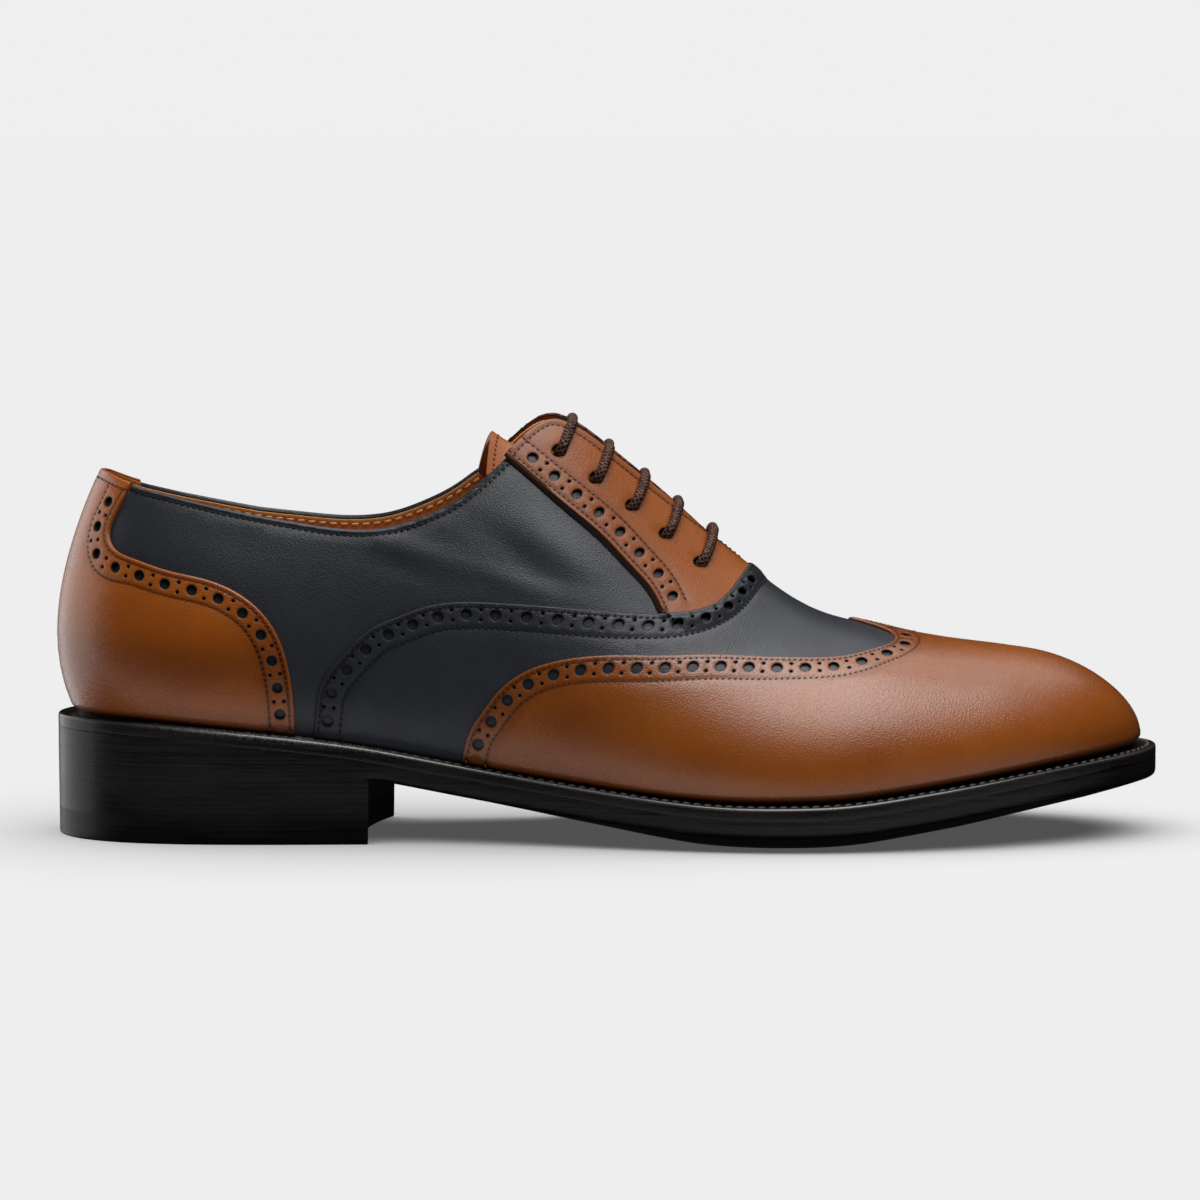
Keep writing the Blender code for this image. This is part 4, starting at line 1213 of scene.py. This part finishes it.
# tongue: a two-layer sheet under the facings, with a stitched top edge
tongueCut = {
    "thick": 1.9, "leanOuter": 1.5, "leanInner": 4.2, "rows": 60, "columns": 41, "stitch": 1.7,
    "stitchLift": 0.08, "stitchTo": 0.97, "stitchPlaces": 90, "rim": ((1.012, 0.5), (1.012, 1.4)),
    "rimDarkAndShade": 0.55, "rimDepth": 2.0,
}
tongueShape = (  # x, height on the ridge, half-width, fall to its sides
    (119.5, 110.0, 12.0, 11.0), (125.0, 106.6, 12.4, 13.2), (131.0, 105.4, 12.4, 15.8),
    (138.0, 103.6, 12.0, 17.3), (150.0, 96.2, 11.5, 17.5), (168.0, 81.6, 11.5, 15.5),
    (176.0, 74.6, 12.0, 13.5), (186.0, 67.6, 12.5, 10.0), (193.0, 64.0, 13.0, 8.0), (198.0, 62.2, 13.0, 7.0),
)


def tonguePoint(x, share, depth):
    height, half, fall = (tableLine(tongueShape, k)(x) for k in (1, 2, 3))
    far = np.abs(share)
    lean = np.where(share < 0, tongueCut["leanOuter"] * far, tongueCut["leanInner"] * far**1.2)
    lean = lean * (1 - smooth(x, tongueShape[0][0], tongueShape[4][0]))
    slope = 2 * fall * share / half
    size = np.hypot(1, slope)
    y = ridgeY(x) + half * share - depth * slope / size
    return np.stack([x - lean, y, height - fall * share**2 - depth / size], -1)


def makeTongue():
    x = np.linspace(tongueShape[0][0], tongueShape[-1][0], tongueCut["rows"])[:, None]
    share = np.linspace(-1, 1, tongueCut["columns"])
    rim = tongueCut["rim"]
    section = [*((s, 0.0) for s in share), *rim, *((s, tongueCut["thick"]) for s in share[::-1])]
    section += [*((-s, depth) for s, depth in rim[::-1]), (share[0], 0.0)]
    s, d = np.array(section).T
    skin = tonguePoint(x + 0 * s, s + 0 * x, d + 0 * x)
    ends = [tonguePoint(x[k] + 0 * s, s, 0 * s + tongueCut["thick"] / 2) for k in (0, -1)]
    skin = np.concatenate([ends[0][None], skin, ends[1][None]])
    bm = gridMesh(skin)
    edge = bm.verts.layers.float.new("edge")
    bm.verts.layers.float.new("burnishAndShade")
    back = place(tonguePoint(np.array(tongueShape[0][0]), np.array(0.0), np.array(0.0)))[0]
    # where the top of the tongue leans back it takes the dark edge colour: its dyed edge, and painted shade
    # on the far half that leans away
    for vert in bm.verts:
        vert[edge] = tongueCut["rimDarkAndShade"] if vert.co.x < back - tongueCut["rimDepth"] * mm else 0.0
    addPiece("tongueLeather", bm, ["eyestayLeather"], "tan_leather", ["tongue"])
    share = np.linspace(-tongueCut["stitchTo"], tongueCut["stitchTo"], tongueCut["stitchPlaces"])
    x = tongueShape[0][0] + tongueCut["stitch"] + 0 * share
    line, ahead = (tonguePoint(x + step, share, 0 * x - tongueCut["stitchLift"]) for step in (0.0, 0.5))
    freeRows.append((line, np.cross(ahead - line, np.gradient(line, axis=0)), "tanThread"))


makeTongue()


# stitches: one small bowed thread, repeated along every row
threadCut = {"sides": 6, "lift": 0.03, "plunge": 0.34}
threads = {  # stitch length, pitch, radius, slant in degrees, leather it is sewn in
    "tanThread": (1.05, 1.6, 0.30, 26.0, "tan_leather"),
    "navyThread": (1.25, 1.75, 0.39, 26.0, "navy_leather"),
    "paleThread": (2.4, 3.1, 0.40, 5.0, "insole_leather"),
}
threadProfile = ((-0.5, 0.45, 1.0), (-0.36, 0.9, 0.35), (0.0, 1.0, 0.0), (0.36, 0.9, 0.35), (0.5, 0.45, 1.0))


def stitchMesh(places, length, radius, lean):  # places: centre, way along the row, way out of the leather
    centre, way, out = (np.array(part) for part in zip(*places))
    across = np.cross(out, way)
    slant = math.radians(lean)
    cos, sin = math.cos(slant), math.sin(slant)
    way, across = way * cos + across * sin, across * cos - way * sin
    turn = np.linspace(0, 2 * np.pi, threadCut["sides"], endpoint=False)
    rings = []
    for share, wide, sink in threadProfile:
        middle = centre + way * share * length - out * sink * threadCut["plunge"]
        for angle in turn:
            rings.append(middle + (across * math.cos(angle) + out * math.sin(angle)) * radius * wide)
    points = np.stack(rings, 1)
    sides, ringCount = threadCut["sides"], len(threadProfile)
    faces = [tuple(range(sides))[::-1], tuple(range(sides * (ringCount - 1), sides * ringCount))]
    for ring in range(ringCount - 1):
        for k in range(sides):
            a, b = ring * sides + k, ring * sides + (k + 1) % sides
            faces.append((a, b, b + sides, a + sides))
    total = sides * ringCount
    mesh = bpy.data.meshes.new("stitches")
    every = [tuple(i + total * n for i in face) for n in range(len(points)) for face in faces]
    mesh.from_pydata(place(points.reshape(-1, 3)).tolist(), [], every)
    bm = bmesh.new()
    bm.from_mesh(mesh)
    bpy.data.meshes.remove(mesh)
    bmesh.ops.recalc_face_normals(bm, faces=bm.faces)
    return bm


def sewn(points, out):
    way = unit(np.diff(points, axis=0))
    out = out[:-1] + out[1:]
    out = unit(out - way * (out * way).sum(1, keepdims=True))
    return list(zip((points[:-1] + points[1:]) / 2, way, out))


def rowPlaces(side, line, height, pitch, face=1):  # face -1 is sewn on the inside
    line = spaced(line, pitch)
    height = height + face * (threadCut["lift"] - sheet["groove"]) + 0 * line[:, 0]
    return sewn(offsetPoint(side, *line.T, height), lastNormal(side, *line.T) * face)


def freePlaces(line, out, pitch):
    length = lineLength(line)
    where = np.linspace(0, length[-1], int(length[-1] / pitch) + 1)
    return sewn(*(sampled(part, where, length) for part in (line, out)))


def makeStitches():
    for thread, (length, pitch, radius, lean, slot) in threads.items():
        places = []
        for sides, line, height, look in stitchRows:
            if look == thread and len(line) > 4:
                for side in sides:
                    places += rowPlaces(side, line, height, pitch, -1 if look == "paleThread" else 1)
        for line, out, look in freeRows:
            if look == thread:
                places += freePlaces(line, out, pitch)
        addPiece(thread, stitchMesh(places, length, radius, lean), [thread], slot)


makeStitches()
print("stitched rows:", len(stitchRows))

# lace: five straight bars, joined under the facings, ends hidden in the top and the lowest eyelet
laceCut = {
    "diameter": 2.95, "shift": 3.2, "over": 2.85, "sag": 0.5, "under": -3.8, "dip": 1.9, "pitch": 0.7,
    "sides": 14, "braid": 1.5, "barFrom": 1.0, "barShift": 0.9,
}
# one eyelet passage, from inside to the ridge: way to the ridge, shift to the toe, height
lacePassage = ((-0.7, 0.2, -1.0), (-0.3, 0.5, 1.0), (0.8, 0.8, 2.5), (3.2, 1.5, 2.9))


def lacePoint(side, *at):  # along, up and height
    return offsetPoint(side, *map(np.array, at))


def laceRoute():
    route, side = [], medial
    for number, (along, up) in enumerate(eyelets):
        crossing = along + laceCut["shift"]
        most = float(girth(crossing)) - float(throatGap(crossing)) - laceCut["barFrom"]
        half = [(along + shift, up + way, height) for way, shift, height in lacePassage]
        half.append((along + laceCut["shift"] * laceCut["barShift"], most, laceCut["over"]))
        ways = [[lacePoint(face, *at) for at in half] for face in (side, -side)]
        crest = (ways[0][-1] + ways[1][-1]) / 2 - (0, 0, laceCut["sag"])
        bar = ways[0] + [crest] + ways[1][::-1]
        behind = lacePassage[0][0]
        if number:
            before = eyelets[number - 1]
            middle = ((before[0] + along) / 2, (before[1] + up) / 2 + behind)
            entry = [middle, (along - laceCut["dip"], up + behind)]
            bar = [lacePoint(side, *at, laceCut["under"]) for at in entry] + bar
        if number < len(eyelets) - 1:
            bar.append(lacePoint(-side, along + laceCut["dip"], up + behind, laceCut["under"]))
        route += bar
        side = -side
    return smoothLine(route, laceCut["pitch"])


def makeLace():
    line = laceRoute()
    way = unit(np.gradient(line, axis=0))
    across = np.cross(way[0], (0, 0, 1.0))
    frames = []
    for direction in way:  # carried along without twist
        across = unit(across - direction * (across @ direction))
        frames.append((across, np.cross(direction, across)))
    turn = np.linspace(0, 2 * np.pi, laceCut["sides"] + 1)
    cos, sin = np.cos(turn), np.sin(turn)
    rings = [np.outer(cos, a) + np.outer(sin, b) for a, b in frames]
    skin = np.stack([at + laceCut["diameter"] / 2 * ring for at, ring in zip(line, rings)])
    caps = [np.repeat(line[k][None], len(turn), 0) for k in (0, -1)]
    bm = gridMesh(np.concatenate([caps[0][None], skin, caps[1][None]]))
    length = lineLength(line)
    lay = bm.loops.layers.uv.new("UVMap")
    middle = place(line)
    tree = treeOf(middle)
    for face in bm.faces:
        base = None
        for loop in face.loops:
            i = tree.find(loop.vert.co)[1]
            a, b = frames[i]
            d = np.array(loop.vert.co) - middle[i]
            v = math.atan2(d @ b, d @ a) / (2 * math.pi)
            base = v if base is None else base
            v += round(base - v)
            loop[lay].uv = (length[i] / laceCut["braid"], v)
    print("lace length", round(float(length[-1])), "mm")
    addPiece("laceCord", bm, ["waxedCord"], "brown_cord", ["lace"])


makeLace()

# sole: welt, outsole, heel stack and top lift
sole = {
    "welt": 3.4, "outsole": 4.7, "gap": 0.3, "under": 6.0, "insole": 2.5, "insoleClear": 0.6, "topLift": 7.5,
    "breast": 88.9, "breastTurn": 2.4, "breastHollow": 4.0, "taper": 0.2, "stations": 180,
    "columns": 26, "swellPower": 6, "sockColumns": 21, "sockRound": (0.25, 8), "sockEnds": 4,
}
soleSwell = (  # x, swell below the rim
    (90.0, 0.0), (120.0, 0.8), (150.0, 2.4), (175.0, 4.2), (200.0, 4.9), (220.0, 4.9), (245.0, 4.2),
    (280.0, 2.2), (302.0, 0.0),
)
soleTurns = np.linspace(0, np.pi, sole["stations"])


def outwards(side, turn):
    h = 1e-3
    x0, y0 = feather(side, np.clip(turn - h, 0, np.pi))
    x1, y1 = feather(side, np.clip(turn + h, 0, np.pi))
    ends = (turn < h) | (turn > np.pi - h)
    dx = np.where(ends, 0.0, x1 - x0)
    dy = np.where(ends, np.where(turn < h, side, -side), y1 - y0)
    size = np.hypot(dx, dy)
    return -side * dy / size, side * dx / size


def outline(side, turn, margin):
    x, y = feather(side, turn)
    nx, ny = outwards(side, turn)
    return x + nx * margin, y + ny * margin


def weltTop(x):
    return featherZ(x) - sole["gap"]


def soleEdge(x):
    return weltTop(x) - sole["welt"] - sole["gap"] - sole["outsole"]


def bridged(a, b, share):  # straight rows of points from one edge to the other
    share = share[None, :, None]
    return a[:, None] * (1 - share) + b[:, None] * share


# each station's profile: steps out and drops, at the forefoot and the heel
def wallPoints(side, profile, top):
    x, _ = outline(side, soleTurns, soleMargin(soleTurns))
    free = smooth(x, sole["breast"] - 4.0, sole["breast"] + 2.0)
    rows = []
    for out, drop, heelOut, heelDrop in profile:
        x, y = outline(side, soleTurns, soleMargin(soleTurns) + heelOut + (out - heelOut) * free)
        rows.append(np.stack([x, y, top(x) - heelDrop - (drop - heelDrop) * free], -1))
    return np.stack(rows, 1)


weltCut = {
    "seat": {"inner": -sole["under"], "under": 0.5, "foot": 1.3}, "lift": -0.28, "sheenDrop": (0.6, 1.15),
    "rim": (0.02, 0.2), "rimEnd": (0.45, 0.85), "stitchIn": 2.2, "stitchFrom": 92.0, "pitch": 2.9,
    "raised": 0.02, "stitch": (2.2, 0.42, 20.0), "turns": 4000,
}
weltProfile = (  # out from the sole's edge or a named seat line, drop below the welt's top
    ("inner", weltCut["lift"]), ("under", weltCut["lift"]), ("foot", 0.0), (-2.6, 0.0), (-1.7, 0.0),
    (-0.8, 0.03), (-0.45, 0.13), (-0.2, 0.33), (-0.06, 0.62), (0.0, 1.0), (0.0, 2.6), (0.0, 3.26),
    (-0.02, 3.35), (-0.07, sole["welt"]), ("inner", sole["welt"]), ("inner", weltCut["lift"]),
)
weltPaintedSheen = (  # x, how much painted highlight lightens the welt's top
    (20.0, 0.0), (36.0, 0.45), (55.0, 1.0), (76.0, 0.8), (95.0, 0.4), (120.0, 0.15), (160.0, 0.05),
    (302.0, 0.0),
)
weltWaxAndSheen = ((30.0, 0.2), (60.0, 0.8), (225.0, 0.8), (262.0, 0.25), (302.0, 0.25))  # x, wax and painted highlight on its rim


def makeWelt():
    around = []
    for side in both:
        rows = []
        for out, drop in weltProfile:
            seat = weltCut["seat"].get(out)
            margin = soleMargin(soleTurns) + out if seat is None else seat + 0 * soleTurns
            x, y = outline(side, soleTurns, margin)
            rows.append(np.stack([x, y, weltTop(x) - drop], -1))
        around.append(np.stack(rows, 1))
    bm = gridMesh(np.concatenate([around[0], around[1][::-1]]))
    paintedSheen, waxAndSheen = (bm.verts.layers.float.new(name) for name in ("paintedSheen", "waxAndSheen"))
    for vert in bm.verts:
        x = vert.co.x / mm + last["length"] / 2
        drop = weltTop(x) - vert.co.z / mm
        # masks of the painted highlights on the welt: its top, and its rounded rim
        vert[paintedSheen] = float(looked(weltPaintedSheen, x) * (1 - smooth(drop, *weltCut["sheenDrop"])))
        rim = smooth(drop, *weltCut["rim"]) * (1 - smooth(drop, *weltCut["rimEnd"]))
        vert[waxAndSheen] = float(looked(weltWaxAndSheen, x) * rim)
    addPiece("weltStrip", bm, ["weltLeather"], "black_leather", ["welt"])
    places = []
    turns = np.linspace(0, np.pi, weltCut["turns"])
    for side in both:
        x, y = outline(side, turns, soleMargin(turns) - weltCut["stitchIn"])
        line = np.stack([x, y, weltTop(x) + weltCut["raised"]], -1)
        line = line[line[:, 0] > weltCut["stitchFrom"]]
        line = sampled(line, np.arange(0, lineLength(line)[-1], weltCut["pitch"]))
        way = unit(np.diff(line, axis=0))
        out = np.cross(way, np.cross((0, 0, 1.0), way))
        places += list(zip((line[:-1] + line[1:]) / 2, way, out))
    addPiece("weltStitches", stitchMesh(places, *weltCut["stitch"]), ["weltThread"], "black_leather")


def makeOutsole():
    deep = sole["outsole"] + sole["gap"] * 0.8

    def top(x):
        return soleEdge(x) + deep

    profile = [  # out and drop at the forefoot, then where the heel sits below
        (-0.07, 0.0, -0.07, 0.0), (-0.02, 0.05, -0.02, 0.05), (0.0, 0.14, 0.0, 0.14), (0.0, 1.6, 0.0, 1.6),
        (0.0, 3.0, 0.0, 3.0), (-0.06, deep - 0.9, 0.0, deep - 0.3), (-0.25, deep - 0.35, 0.0, deep - 0.12),
        (-0.6, deep - 0.08, 0.0, deep - 0.05), (-1.05, deep, -0.008, deep),
    ]
    walls = {side: wallPoints(side, profile, top) for side in both}
    share = np.linspace(0, 1, sole["columns"])[1:-1]
    floor = bridged(walls[lateral][:, -1], walls[medial][:, -1], share)
    swell = looked(soleSwell, floor[..., 0]) * (1 - (2 * share - 1) ** sole["swellPower"])
    floor[..., 2] = np.maximum(soleEdge(floor[..., 0]) - swell, 0.0)
    lid = bridged(walls[medial][:, 0], walls[lateral][:, 0], share)
    for wall in walls.values():
        wall[..., 2] = np.maximum(wall[..., 2], 0.0)
    skin = np.concatenate([walls[lateral], floor, walls[medial][:, ::-1], lid, walls[lateral][:, :1]], 1)
    addPiece("outsoleLeather", gridMesh(skin), ["soleEdge"], "black_leather", ["outsole"])


heelCut = {"turns": 1441, "breastSteps": 31, "sideSteps": 60, "joint": 0.012, "seat": 0.01}


def heelRing():  # once round the heel, from the outer breast corner by the back to the inner one
    turns = np.linspace(0, np.pi, heelCut["turns"])
    share = np.linspace(-1, 1, heelCut["breastSteps"])
    breast = sole["breast"] + sole["breastTurn"] * share - sole["breastHollow"] * (1 - share**2)
    steps = 1 - np.cos(np.linspace(0, np.pi / 2, heelCut["sideSteps"]))
    plan = {}
    for side in both:
        x, y = outline(side, turns, soleMargin(turns))
        end = breast[0] if side == lateral else breast[-1]
        plan[side] = np.stack([end * steps, np.interp(end * steps, x, y)], -1)
    y = np.interp(share, (-1, 1), (plan[lateral][-1, 1], plan[medial][-1, 1]))
    front = np.stack([breast, y], -1)
    return np.concatenate([plan[lateral][::-1], plan[medial][1:], front[::-1][1:]])


# share of the height, inset
stackProfile = (
    (0.0, 0.008), (0.015, 0.0), (0.03, 0.0), (0.35, 0.0), (0.7, 0.0), (0.97, 0.0), (0.985, 0.0), (1.0, 0.008),
)
liftProfile = ((0.0, 0.35), (0.02, 0.12), (0.06, 0.0), (0.5, 0.0), (0.95, 0.0), (0.99, 0.0), (1.0, 0.008))


def makeHeel():
    ring = heelRing()
    middle = np.array((sole["breast"] / 2, 0.0))
    under = soleEdge(ring[:, 0])

    def level(share, inset, low, high):
        z = low + (high - low) * share
        shrink = 1 - sole["taper"] / middle[0] * (1 - z / under)
        plan = middle + (ring - middle) * shrink[:, None] + unit(middle - ring) * inset
        return np.concatenate([plan, z[:, None]], 1)

    def stack(low, high, profile):
        rows = [level(share, inset, low, high) for share, inset in profile]
        caps = []
        for row in (rows[0], rows[-1]):
            pole = np.repeat(np.array([[*middle, row[:, 2].mean()]]), len(row), 0)
            edge = row * 0.5 + pole * 0.5
            edge[:, 2] = row[:, 2]
            caps.append([pole, edge])
        return gridMesh(np.stack([*caps[0], *rows, *caps[1][::-1]]))

    lift = 0 * under + sole["topLift"]
    bm = stack(lift + heelCut["joint"], under - heelCut["seat"], stackProfile)
    addPiece("heelStack", bm, ["soleEdge"], "black_leather", ["heel_stack"])
    bm = stack(0 * under, lift, liftProfile)
    addPiece("topLift", bm, ["liftRubber"], "black_rubber", ["top_lift"])


def makeInsole():
    turns = soleTurns[sole["sockEnds"] : -sole["sockEnds"]]
    inset = 0 * turns - layers["wall"] - sole["insoleClear"]
    sides = [np.stack(outline(side, turns, inset), -1) for side in both]
    share = np.linspace(0, 1, sole["sockColumns"])
    plan = bridged(*sides, share)
    fall, power = sole["sockRound"]
    rise = sole["insole"] * (1 - fall * (2 * share - 1) ** power)
    top = np.concatenate([plan, (featherZ(plan[..., 0]) + rise)[..., None]], -1)
    low = np.concatenate([plan, featherZ(plan[..., 0])[..., None]], -1)
    skin = np.concatenate([top, low[:, ::-1], top[:, :1]], 1)
    ends = [np.repeat(skin[k].mean(0)[None], skin.shape[1], 0)[None] for k in (0, -1)]
    bm = gridMesh(np.concatenate([ends[0], skin, ends[1]]))
    for name in ("edge", "burnishAndShade"):
        bm.verts.layers.float.new(name)
    addPiece("insoleSock", bm, ["liningLeather"], "insole_leather", ["insole"])


makeWelt()
makeOutsole()
makeHeel()
makeInsole()
print("sole made")

# studio: an endless pale floor under a soft sky of its own, and soft boxes that shine on the shoe alone
studio = {
    "reach": 60.0, "pale": (0.90, 0.90, 0.90), "back": (0.863, 0.863, 0.863), "room": (0.012, 0.012, 0.012),
    "glow": 0.08, "sky": 2.66, "skySpread": 100.0,
}
softBoxes = (  # name, place, aimed at, size, power
    ("topBox", (0.185, -0.27, 1.00), (0.185, -0.27, 0.0), (0.67, 0.95), 12.0),
    ("frontBox", (0.10, -0.90, 0.90), (0.02, 0.0, 0.06), (0.45, 0.40), 1.1),
    ("backBox", (0.15, 0.62, 0.95), (0.05, 0.0, 0.06), (1.10, 0.50), 3.0),
    ("heelBox", (-0.85, 0.34, 0.14), (-0.13, 0.0, 0.05), (1.25, 0.95), 5.2),
    ("toeCard", (0.50, -0.46, 0.0), (0.12, 0.0, 0.03), (0.45, 0.20), 0.11),
    ("floorCard", (0.0, -0.080, 0.004), (0.0, -0.080, 1.0), (0.90, 0.05), 0.12),
)


def makeFloor():
    bm = bmesh.new()
    bmesh.ops.create_grid(bm, x_segments=1, y_segments=1, size=studio["reach"])
    mesh = bpy.data.meshes.new("floor")
    bm.to_mesh(mesh)
    bm.free()
    wire, shader = material(
        "paleFloor", Roughness=1.0, Specular_IOR_Level=0.0, Emission_Strength=studio["glow"],
    )
    shade = wire.objectCoords().noise(3.0).between(0.0, 1.0)
    feed(shader, Base_Color=shade.blend(studio["pale"], tuple(c * 1.004 for c in studio["pale"])))
    mesh.materials.append(materials["paleFloor"])
    floor = bpy.data.objects.new("floor", mesh)
    bpy.context.scene.collection.objects.link(floor)
    # the shoe is lit by the boxes alone
    floor.visible_glossy = floor.visible_diffuse = floor.visible_shadow = False
    return floor


def addLamp(name, kind, at, target, lit):
    data = bpy.data.lights.new(name, kind)
    lamp = bpy.data.objects.new(name, data)
    lamp.location = at
    lamp.rotation_mode = "QUATERNION"
    lamp.rotation_quaternion = (Vector(target) - Vector(at)).to_track_quat("-Z", "Y")
    bpy.context.scene.collection.objects.link(lamp)
    group = bpy.data.collections.new(name + "Lit")
    for piece in lit:
        group.objects.link(piece)
    lamp.light_linking.receiver_collection = group
    return data


def makeLights(floor):
    sky = addLamp("floorSky", "SUN", (0, 0, 2), (0, 0, 0), [floor])
    sky.energy, sky.angle = studio["sky"], math.radians(studio["skySpread"])
    for name, at, target, size, power in softBoxes:
        box = addLamp(name, "AREA", at, target, pieces)
        box.shape = "RECTANGLE"
        box.size, box.size_y = size
        box.energy = power
    world = bpy.data.worlds.new("studio")
    world.use_nodes = True
    tree = world.node_tree
    seen = Wire(tree).node("ShaderNodeLightPath")  # the room is dim, only its far wall is pale
    tree.links.new(seen.blend(studio["room"], studio["back"]).out, tree.nodes["Background"].inputs["Color"])
    bpy.context.scene.world = world
    bpy.context.scene.view_settings.view_transform = "Standard"


makeLights(makeFloor())
print("studio lit")
